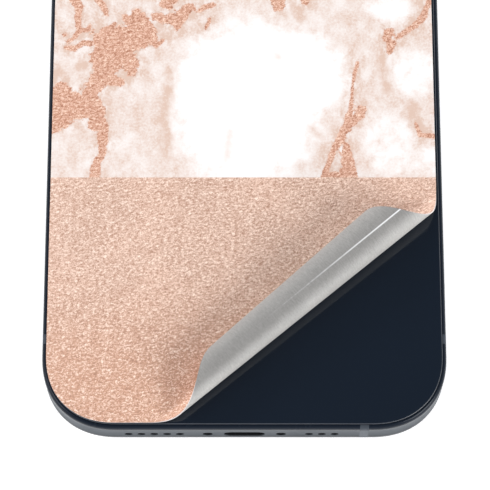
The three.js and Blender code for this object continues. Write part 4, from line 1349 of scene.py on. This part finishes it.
def ring_profile(inner, outer, bottom, top, edge):
    """A closed loop for a metal ring: rounded outside, with a bevel down to the glass inside."""
    points = [(inner, bottom), (outer, bottom)]
    points += arc((outer - edge, top - edge), edge, 0, 90)
    points += [(inner + 0.5 * MM, top), (inner, top - 0.3 * MM)]
    return points


PLATE_BORES = {
    "lens_cover_lower": 4.6 * MM,
    "lens_cover_upper": 4.6 * MM,
    "flash_window": 2.2 * MM,
    "rear_mic_mesh": 0.6 * MM,
}


class PHONE_OT_cameras(bpy.types.Operator):
    """Makes the camera plate, lens rings, covers, lens stacks and flash"""

    bl_idname = "phone.cameras"
    bl_label = "Cameras"

    def execute(self, context):
        plate_look = dark_glass("Plate Glass", (0.016, 0.022, 0.034), 0.4)
        ring_look = coated("Ring Metal", (0.16, 0.17, 0.19), 0.22, 0.9, 2500.0, 0.05, 0.1)
        barrel_look = coated("Barrel Plastic", (0.012, 0.012, 0.014), 0.45, 0.0, 5000.0)
        bottom, top = low("camera_plate")[2], high("camera_plate")[2]
        centre = middle("camera_plate")
        rings = [flat_ring(plate_outline(), bottom, centre)]
        rim = 0.45 * MM
        turns = np.radians(np.linspace(0, 90, 8))
        for turn in turns:
            grow = -rim * (1 - math.cos(turn))
            rings.append(flat_ring(plate_outline(grow), top - rim * (1 - math.sin(turn)), centre))
        rings.append(flat_ring(plate_outline(-2 * rim), top, centre))
        plate = solid("camera_plate_glass", loft(rings), [plate_look])
        bores = []
        for node, radius in PLATE_BORES.items():
            loop = capsule(radius, radius, 16)
            bores.append(loft([flat_ring(loop, height, middle(node)) for height in (bottom - MM, top + MM)]))
        settle(carve(plate, bores), "phone", "back_glass", "camera_plate")

        for end in ("lower", "upper"):
            node = f"lens_ring_{end}"
            spot = middle(node)
            outer = high(node)[0] - spot[0]
            profile = ring_profile(BEZEL_BORE, outer, low(node)[2], high(node)[2], BEZEL_EDGE)
            ring = solid(f"lens_bezel_{end}", turned(profile, spot), [ring_look])
            settle(ring, "phone", "band_metal", node)

            node = f"lens_cover_{end}"
            radius = high(node)[0] - spot[0]
            cover_low, cover_high = low(node)[2], high(node)[2]
            crown = 0.05 * MM
            loops = []
            for inset, height in ((0.0, cover_low), (0.0, cover_high - crown), (crown, cover_high)):
                loops.append(flat_ring(capsule(radius - inset, radius - inset, 16), height, spot))
            cover = solid(f"lens_window_{end}", loft(loops), [clear_cover()])
            settle(cover, "phone", "lens_glass", node)

            node = f"lens_barrel_{end}"
            radius = high(node)[0] - spot[0]
            start, crest = low(node)[2], high(node)[2]
            bevel = 0.2 * MM
            body = [(AXIS_GAP, start), (radius, start), (radius, crest - bevel), (radius - bevel, crest)]
            lip, step_in, step_down, slant = 0.6 * MM, 0.5 * MM, 0.28 * MM, 0.12 * MM
            for step in range(3):
                inner, level = radius - lip - step_in * step, crest - step_down * step
                body += [(inner, level), (inner - slant, level - step_down)]
            seat_radius, seat = 1.55 * MM, crest - 1.0 * MM
            body += [(seat_radius, seat), (AXIS_GAP, seat)]
            barrel = solid(f"lens_stack_{end}", turned(body, spot, 64), [barrel_look])
            settle(barrel, f"{end}_lens", "black_plastic", node)
            dome_radius, foot = 2.0 * MM, crest - 0.98 * MM
            dome = [(AXIS_GAP, foot), (1.5 * MM, foot)]
            dome += arc((0.0, crest - 2.4 * MM), dome_radius, 44, 89, 10)
            eye = solid(f"lens_element_{end}", turned(dome, spot, 64), [lens_glass()])
            settle(eye, f"{end}_lens", "lens_glass")

        node = "flash_window"
        radius = high(node)[0] - middle(node)[0]
        start, crest, bevel = low(node)[2], high(node)[2], 0.15 * MM
        profile = [(AXIS_GAP, start), (radius, start), (radius, crest - bevel)]
        profile += [(radius - bevel, crest), (AXIS_GAP, crest)]
        lens = solid("flash_lens", turned(profile, middle(node), 48), [flash_lens()])
        settle(lens, "phone", "flash_lens", node)
        return {"FINISHED"}


# ------------------------------------------------------------------ keys and card tray


KEY_DEPTH = 2.2 * MM


def key_shape(node, outward, edge):
    """A key: a capsule cap with a rounded outer edge, and its stem inside."""
    bottom, top = low(node), high(node)
    half = (top - bottom) / 2
    face = top[0] if outward > 0 else bottom[0]
    centre = middle(node)[1:]
    turns = np.radians(np.linspace(0, 90, 6))
    rings = [side_ring(capsule(half[1], half[2]), centre, face - outward * KEY_DEPTH)]
    for turn in turns:
        shrink = edge * (1 - math.cos(turn))
        x = face - outward * edge * (1 - math.sin(turn))
        rings.append(side_ring(capsule(half[1] - shrink, half[2] - shrink), centre, x))
    rings.append(side_ring(capsule(half[1] - 2 * edge, half[2] - 2 * edge), centre, face))
    return rings


class PHONE_OT_keys(bpy.types.Operator):
    """Makes the volume keys, the power key and the ringer switch"""

    bl_idname = "phone.keys"
    bl_label = "Keys and ringer switch"

    def execute(self, context):
        look = coated("Key Metal", tuple(context.scene.phone_band.metal), 0.34, 0.75, 3000.0, 0.06, 0.12)
        bodies = {"volume_up_key": "volume_up", "volume_down_key": "volume_down", "power_key": "power"}
        for node, body in bodies.items():
            outward = 1 if middle(node)[0] > 0 else -1
            cap = key_shape(node, outward, 0.22 * MM)
            key = solid(node.replace("_key", "_button"), loft(cap), [look])
            inner = low(node)[0] if outward > 0 else high(node)[0]
            centre = middle(node)[1:]
            stem = capsule(0.6 * MM, 0.6 * MM, 6)
            stem_rings = [side_ring(stem, centre, inner + outward * run) for run in (0.0, 0.9 * MM)]
            carve(key, [loft(stem_rings)], "UNION")
            settle(key, body, "band_metal", node)

        node = "ringer_switch"
        lever = solid("ringer_lever", loft(key_shape(node, 1, 0.2 * MM)), [look])
        settle(lever, "ringer", "band_metal", node)
        return {"FINISHED"}


class PHONE_OT_tray(bpy.types.Operator):
    """Makes the card tray with its flush face, its blade and the release hole"""

    bl_idname = "phone.tray"
    bl_label = "Card tray"

    def execute(self, context):
        look = coated("Tray Metal", tuple(context.scene.phone_band.metal), 0.34, 0.75, 3000.0, 0.06, 0.12)
        node = "card_tray"
        half = half_size(node)
        face = high(node)[0]
        centre = middle(node)[1:]
        edge = 0.1 * MM
        rings = [
            side_ring(capsule(half[1], half[2]), centre, face - 1.0 * MM),
            side_ring(capsule(half[1], half[2]), centre, face - edge),
            side_ring(capsule(half[1] - edge, half[2] - edge), centre, face),
        ]
        tray = solid("sliding_tray", loft(rings), [look])
        card = half_size("card")
        blade_half, over_card = 6.3 * MM, 0.05 * MM
        blade = box_shape(
            (low(node)[0], centre[0] - blade_half, low("card")[2] - over_card),
            (face - 0.9 * MM, centre[0] + blade_half, high("card")[2] + over_card),
        )
        carve(tray, [blade], "UNION")
        seat = rounded(card[0] + 0.1 * MM, card[1] + 0.1 * MM, MM)
        window = loft([flat_ring(seat, height, middle("card")) for height in (0.0, 8 * MM)])
        pin_inset, pin_radius = 1.8 * MM, 0.4 * MM
        pin = (centre[0] + half[1] - pin_inset, centre[1])
        hole = capsule(pin_radius, pin_radius, 6)
        release = loft([side_ring(hole, pin, face + run) for run in (-1.2 * MM, MM)])
        carve(tray, [window, release])
        settle(tray, "tray", "band_metal", node)
        return {"FINISHED"}


# ------------------------------------------------------------------ repeated small pieces


def screw_tree(look):
    """Sets a screw at each point of the input mesh."""
    w, given = node_tree("Screw Row", [("Screw", "NodeSocketObject")])
    source = {"Object": given["Screw"], "As Instance": True}
    screw = w.add("GeometryNodeObjectInfo", source).outputs["Geometry"]
    placed = w.add("GeometryNodeInstanceOnPoints", {"Points": given["Geometry"], "Instance": screw})
    return close_tree(w, placed.outputs[0], look)


def screw_shape(radius, shank, head, run):
    """One screw about the origin along Y, its head's face at y = 0 and its shank inwards."""
    edge = 0.1 * MM
    stations = [(radius - edge, 0.0), (radius, edge), (radius, head), (shank, head), (shank, run - 0.3 * MM)]
    stations.append((shank * 0.5, run))
    rings = [end_ring(capsule(r, r, 8), (0.0, 0.0), y) for r, y in stations]
    return loft(rings)


def gauze_tree(look):
    """A woven gauze in the XZ plane: a grid's edges made into wires."""
    inputs = [("Width", FLOAT), ("Height", FLOAT), ("Columns", "NodeSocketInt"), ("Rows", "NodeSocketInt")]
    w, given = node_tree("Woven Gauze", [*inputs, ("Wire", FLOAT), ("Centre", VECTOR)])
    sizes = {"Size X": given["Width"], "Size Y": given["Height"]}
    counts = {"Vertices X": given["Columns"], "Vertices Y": given["Rows"]}
    grid = w.add("GeometryNodeMeshGrid", {**sizes, **counts}).outputs["Mesh"]
    standing = w.add(
        "GeometryNodeTransform",
        {"Geometry": grid, "Translation": given["Centre"], "Rotation": (math.pi / 2, 0.0, 0.0)},
    ).outputs[0]
    threads = w.add("GeometryNodeMeshToCurve", {"Mesh": standing}).outputs[0]
    section = w.add("GeometryNodeCurvePrimitiveCircle", {"Resolution": 5, "Radius": given["Wire"]}).outputs[0]
    wires = w.add("GeometryNodeCurveToMesh", {"Curve": threads, "Profile Curve": section, "Fill Caps": True})
    return close_tree(w, wires.outputs[0], look)


def winding_tree(look):
    """A flat spiral winding of round wire."""
    inputs = [("Turns", FLOAT), ("Inner", FLOAT), ("Outer", FLOAT), ("Wire", FLOAT), ("Centre", VECTOR)]
    w, given = node_tree("Flat Winding", inputs)
    spiral = w.add(
        "GeometryNodeCurveSpiral",
        {
            "Resolution": 56,
            "Rotations": given["Turns"],
            "Start Radius": given["Inner"],
            "End Radius": given["Outer"],
            "Height": 0.0,
        },
    ).outputs[0]
    section = w.add("GeometryNodeCurvePrimitiveCircle", {"Resolution": 8, "Radius": given["Wire"]}).outputs[0]
    wound = w.add("GeometryNodeCurveToMesh", {"Curve": spiral, "Profile Curve": section, "Fill Caps": True})
    placed = w.add("GeometryNodeTransform", {"Geometry": wound.outputs[0], "Translation": given["Centre"]})
    return close_tree(w, placed.outputs[0], look)


def blade_tree(look):
    """A row of thin contact blades along X."""
    inputs = [("Count", "NodeSocketInt"), ("Pitch", FLOAT), ("Blade", VECTOR), ("Start", VECTOR)]
    w, given = node_tree("Contact Row", inputs)
    step = w.add("ShaderNodeCombineXYZ", {0: given["Pitch"]}).outputs[0]
    row = w.add(
        "GeometryNodeMeshLine", {"Count": given["Count"], "Start Location": given["Start"], "Offset": step}
    ).outputs[0]
    blade = w.add("GeometryNodeMeshCube", {"Size": given["Blade"]}).outputs["Mesh"]
    placed = w.add("GeometryNodeInstanceOnPoints", {"Points": row, "Instance": blade})
    return close_tree(w, placed.outputs[0], look)


def chip_tree(look):
    """Small chips scattered over a flat board with a fixed seed, each turned square to it."""
    inputs = [("Density", FLOAT), ("Spacing", FLOAT), ("Seed", "NodeSocketInt")]
    w, given = node_tree("Board Chips", inputs)
    spread = w.add(
        "GeometryNodeDistributePointsOnFaces",
        {
            "Mesh": given["Geometry"],
            "Distance Min": given["Spacing"],
            "Density Max": given["Density"],
            "Seed": given["Seed"],
        },
        distribute_method="POISSON",
    )
    chip = w.add("GeometryNodeMeshCube", {"Size": (1.0 * MM, 0.6 * MM, 0.3 * MM)}).outputs["Mesh"]
    size = w.add(
        "FunctionNodeRandomValue",
        {0: (0.6, 0.6, 0.8), 1: (1.5, 1.6, 1.0), "Seed": given["Seed"]},
        data_type="FLOAT_VECTOR",
    ).outputs[0]
    placed = w.add(
        "GeometryNodeInstanceOnPoints", {"Points": spread.outputs["Points"], "Instance": chip, "Scale": size}
    )
    return close_tree(w, placed.outputs[0], look)


class PHONE_OT_small_parts(bpy.types.Operator):
    """Makes what repeats: end screws, gauzes, port contacts, the coil's winding and the board's chips"""

    bl_idname = "phone.small_parts"
    bl_label = "Screws, gauzes, contacts, winding and chips"

    def execute(self, context):
        steel = coated("Screw Steel", (0.04, 0.042, 0.046), 0.4, 0.6, 3000.0, 0.05)
        ends = END_SCREWS
        radius = (high(ends[0]) - low(ends[0]))[0] / 2
        run = (high(ends[0]) - low(ends[0]))[1]
        recess = 0.3 * MM
        shank, head = 0.5 * MM, 0.7 * MM
        screw = solid("screw_pattern", screw_shape(radius, shank, head, run - recess), [steel])
        arm, groove, sunk = 0.5 * MM, 0.12 * MM, 0.35 * MM
        for wide, tall in ((arm, groove), (groove, arm)):
            carve(screw, [box_shape((-wide, -MM, -tall), (wide, sunk, tall))])
        seats = bpy.data.meshes.new("end_screws")
        heads = [(middle(node)[0], low(node)[1] + recess, middle(node)[2]) for node in ends]
        seats.from_pydata(heads, [], [])
        seats = bpy.data.objects.new("end_screws", seats)
        screws = grown("end_screws", screw_tree(steel), {"Screw": screw}, seats)
        bpy.data.objects.remove(screw)
        settle(screws, "phone", "tin", *ends)

        gauze = coated("Gauze", (0.02, 0.021, 0.024), 0.5, 0.6, 6000.0)
        tree = gauze_tree(gauze)
        for node in ("speaker_mesh", "mic_mesh"):
            size, centre = high(node) - low(node), middle(node)
            pitch = 0.22 * MM
            values = {"Width": size[0], "Height": size[2], "Wire": 0.045 * MM, "Centre": tuple(centre)}
            values.update(Columns=round(size[0] / pitch), Rows=round(size[2] / pitch))
            settle(grown(node.replace("_mesh", "_gauze"), tree, values), "phone", "mesh", node)

        gold = coated("Gold Plate", (0.75, 0.52, 0.2), 0.25, 1.0, 3000.0, 0.05)
        node = "port_contacts"
        size, start = high(node) - low(node), low(node)
        count, blade = 8, (0.3 * MM, size[1] - 0.4 * MM, size[2])
        pitch = (size[0] - blade[0]) / (count - 1)
        first = (start[0] + blade[0] / 2, middle(node)[1], middle(node)[2])
        values = {"Count": count, "Pitch": pitch, "Blade": blade, "Start": first}
        settle(grown("port_blades", blade_tree(gold), values), "phone", "gold", node)

        copper = coated("Copper Wire", (0.62, 0.28, 0.14), 0.3, 0.95, 2500.0, 0.08)
        node = "charging_coil"
        outer = high(node)[0] - middle(node)[0]
        wire = half_size(node)[2]
        inner, turns = 10 * MM, 17.0
        values = {"Turns": turns, "Inner": inner + wire, "Outer": outer - wire, "Wire": wire * 0.98}
        values["Centre"] = tuple(middle(node))
        settle(grown("coil_winding", winding_tree(copper), values), "phone", "copper", node)

        chip = coated("Chip Resin", (0.015, 0.015, 0.017), 0.5, 0.0, 5000.0)
        shield = high("board_shield_lower")
        board = bpy.data.meshes.new("board_chips")
        margin = 0.8 * MM
        x0, x1 = low("board_shield_lower")[0] + margin, shield[0] - margin
        y0, y1 = high("card_reader")[1] + 2 * margin, low("board_shield_upper")[1] - 2 * margin
        z = high("logic_board")[2] + 0.16 * MM
        corners = [(x0, y0, z), (x1, y0, z), (x1, y1, z), (x0, y1, z)]
        board.from_pydata(corners, [], [(0, 1, 2, 3)])
        values = {"Density": 400000.0, "Spacing": 1.9 * MM, "Seed": 7}
        chips = grown("board_chips", chip_tree(chip), values, bpy.data.objects.new("board_chips", board))
        settle(chips, "phone", "black_plastic")
        return {"FINISHED"}


# ------------------------------------------------------------------ carried-over CAD nodes


@finish("Solder Board")
def board_look(w):
    """Solder mask with copper traces showing through it, and small bright pads."""
    place = w.place()
    blocks = w.vector("MULTIPLY", place, (900.0, 900.0, 0.0))
    traces = w.add(
        "ShaderNodeTexBrick",
        {"Vector": blocks, "Scale": 1.0, "Mortar Size": 0.07, "Brick Width": 2.2, "Row Height": 0.45},
    ).outputs["Fac"]
    pads = w.span(w.cells(w.vector("MULTIPLY", place, (1.0, 1.0, 0.0)), 700.0), 0.16, 0.12)
    mask = w.mix(traces, (0.012, 0.045, 0.035), (0.03, 0.10, 0.075))
    return {
        "Base Color": w.mix(pads, mask, (0.72, 0.6, 0.35)),
        "Metallic": pads,
        "Roughness": w.span(traces, 0.0, 1.0, 0.45, 0.36),
        "Normal": w.bump(w.math("ADD", traces, pads), 0.3, 0.00003),
    }


@finish("Cell Wrap")
def cell_look(w):
    """A foil pouch in a black wrap, with soft wrinkles."""
    place = w.place()
    wrinkles = w.noise(place, 90.0, 6.0, 0.6, 0.8)
    fine = w.noise(place, 3000.0, 2.0)
    return {
        "Base Color": w.mix(wrinkles, (0.014, 0.014, 0.016), (0.03, 0.03, 0.033)),
        "Roughness": w.span(fine, 0.0, 1.0, 0.34, 0.5),
        "Normal": w.bump(wrinkles, 0.25, 0.0002),
    }


TIN_NODES = (
    "camera_housing_lower",
    "camera_housing_upper",
    "board_shield_lower",
    "board_shield_upper",
    "port_shell",
    "microphone",
    "card_reader",
    "volume_key_bracket",
    "power_key_bracket",
    "haptic_case",
    "haptic_cover",
    "haptic_spring_left",
    "haptic_spring_right",
)


def finishes():
    """The look of each CAD node that stays, by name."""
    tin = coated("Stamped Tin", (0.42, 0.43, 0.44), 0.35, 0.85, 1800.0, 0.12)
    foam = coated("Foam Tape", (0.013, 0.013, 0.014), 0.85, 0.0, 7000.0, 0.4)
    resin = coated("Moulded Resin", (0.02, 0.021, 0.023), 0.55, 0.0, 5000.0, 0.2)
    looks = {
        "logic_board": board_look(),
        "battery": cell_look(),
        "coil_shield": coated("Ferrite Sheet", (0.03, 0.03, 0.032), 0.6, 0.1, 900.0, 0.3),
        "haptic_mass": coated("Sintered Weight", (0.13, 0.13, 0.14), 0.42, 0.9, 2200.0, 0.2),
        "port_flex": coated("Flex Film", (0.09, 0.045, 0.02), 0.4, 0.1, 1500.0, 0.1),
        "card": coated("Card Plastic", (0.75, 0.75, 0.74), 0.4, 0.0, 2500.0, 0.05, 0.08),
        "earpiece_mesh": coated("Earpiece Gauze", (0.02, 0.021, 0.024), 0.5, 0.6, 9000.0, 0.6),
        "rear_mic_mesh": coated("Mic Gauze", (0.02, 0.021, 0.024), 0.5, 0.6, 9000.0, 0.6),
    }
    for node in ("cover_glass_tape", "back_glass_tape", "battery_pull_tape"):
        looks[node] = foam
    for node in ("display_panel", "front_camera", "earpiece_speaker", "loudspeaker"):
        looks[node] = resin
    for node in TIN_NODES:
        looks[node] = tin
    return looks


class PHONE_OT_inner_parts(bpy.types.Operator):
    """Dresses every CAD node that is still shown"""

    bl_idname = "phone.inner_parts"
    bl_label = "Inner parts"

    def execute(self, context):
        looks = finishes()
        for node, obj in frame["nodes"].items():
            if obj.hide_render:
                continue
            if node not in looks:
                raise ValueError(f"no finish is named for the CAD node {node}")
            obj.data.materials.clear()
            obj.data.materials.append(looks[node])
        return {"FINISHED"}


# ------------------------------------------------------------------ stage


@finish("Pale Floor")
def floor_look(w):
    place = w.place()
    grain = w.noise(place, 40.0, 2.0)
    return {
        "Base Color": w.mix(grain, grey(0.60), grey(0.63)),
        "Roughness": 0.9,
        "Specular IOR Level": 0.1,
        "Emission Color": (1.0, 1.0, 1.0, 1.0),
        "Emission Strength": 0.65,
    }


def area_light(name, place, target, size, power, tint=(1.0, 1.0, 1.0)):
    data = bpy.data.lights.new(name, "AREA")
    data.shape, data.size, data.size_y = "RECTANGLE", size[0], size[1]
    data.energy, data.color = power, tint
    lamp = bpy.data.objects.new(name, data)
    lamp.location = place
    aim = Vector(target) - Vector(place)
    lamp.rotation_euler = aim.to_track_quat("-Z", "Y").to_euler()
    bpy.context.scene.collection.objects.link(lamp)


class PHONE_OT_stage(bpy.types.Operator):
    """Sets the pale floor, the soft lights and the camera"""

    bl_idname = "phone.stage"
    bl_label = "Stage"

    def execute(self, context):
        scene = context.scene
        settings = scene.phone_stage
        half = settings.floor / 2
        corners = [(-half, -half, 0.0), (half, -half, 0.0), (half, half, 0.0), (-half, half, 0.0)]
        floor = solid("floor", (np.array(corners) - (0, 0, 0.02 * MM), [(0, 1, 2, 3)]), [floor_look()])

        area_light("key", (0.62, -0.48, 0.45), (0.0, -0.04, 0.0), (0.5, 0.4), 6.1)
        area_light("left", (-0.55, -0.16, 0.46), (0.0, -0.03, 0.0), (0.4, 0.35), 2.4)
        area_light("back", (-0.30, 0.62, 0.34), (0.0, 0.0, 0.0), (0.9, 0.35), 4.6)
        world = bpy.data.worlds.new("Studio")
        world.use_nodes = True
        w = Wiring(world.node_tree)
        sky = w.split(w.add("ShaderNodeTexCoord").outputs["Generated"])["Z"]
        backdrop = world.node_tree.nodes["Background"]
        w.put(backdrop.inputs["Color"], w.mix(w.span(sky, 0.3, 0.85), (0.66, 0.68, 0.72), (0.14, 0.15, 0.17)))
        backdrop.inputs["Strength"].default_value = 1.0
        scene.world = world
        scene.view_settings.view_transform = "Standard"

        data = bpy.data.cameras.new("camera")
        data.lens, data.clip_start, data.clip_end = settings.lens, 0.01, 10.0
        camera = bpy.data.objects.new("camera", data)
        camera.location = settings.eye
        camera.rotation_euler = (settings.tilt, 0.0, 0.0)
        scene.collection.objects.link(camera)
        scene.camera = camera
        return {"FINISHED"}


# ------------------------------------------------------------------ add-on

STEPS = (
    PHONE_OT_stage,
    PHONE_OT_band,
    PHONE_OT_glass,
    PHONE_OT_skin,
    PHONE_OT_cameras,
    PHONE_OT_keys,
    PHONE_OT_tray,
    PHONE_OT_small_parts,
    PHONE_OT_inner_parts,
)


class PHONE_PT_panel(bpy.types.Panel):
    """Lists the phone's settings and the steps that make it"""

    bl_idname = "PHONE_PT_panel"
    bl_label = "Phone"
    bl_space_type = "VIEW_3D"
    bl_region_type = "UI"
    bl_category = "Phone"

    def draw(self, context):
        for settings in ("phone_band", "phone_skin", "phone_stage"):
            group_of = getattr(context.scene, settings)
            for name in group_of.__annotations__:
                self.layout.prop(group_of, name)
        for step in STEPS:
            self.layout.operator(step.bl_idname)


GROUPS = {"phone_band": BandSettings, "phone_skin": SkinSettings, "phone_stage": StageSettings}


def register():
    for cls in (*GROUPS.values(), *STEPS, PHONE_PT_panel):
        bpy.utils.register_class(cls)
    for name, cls in GROUPS.items():
        setattr(bpy.types.Scene, name, bpy.props.PointerProperty(type=cls))


def unregister():
    for name in GROUPS:
        delattr(bpy.types.Scene, name)
    for cls in reversed((*GROUPS.values(), *STEPS, PHONE_PT_panel)):
        bpy.utils.unregister_class(cls)


def main():
    register()
    for step in STEPS:
        space, name = step.bl_idname.split(".")
        getattr(getattr(bpy.ops, space), name)()


if __name__ == "__main__":
    main()
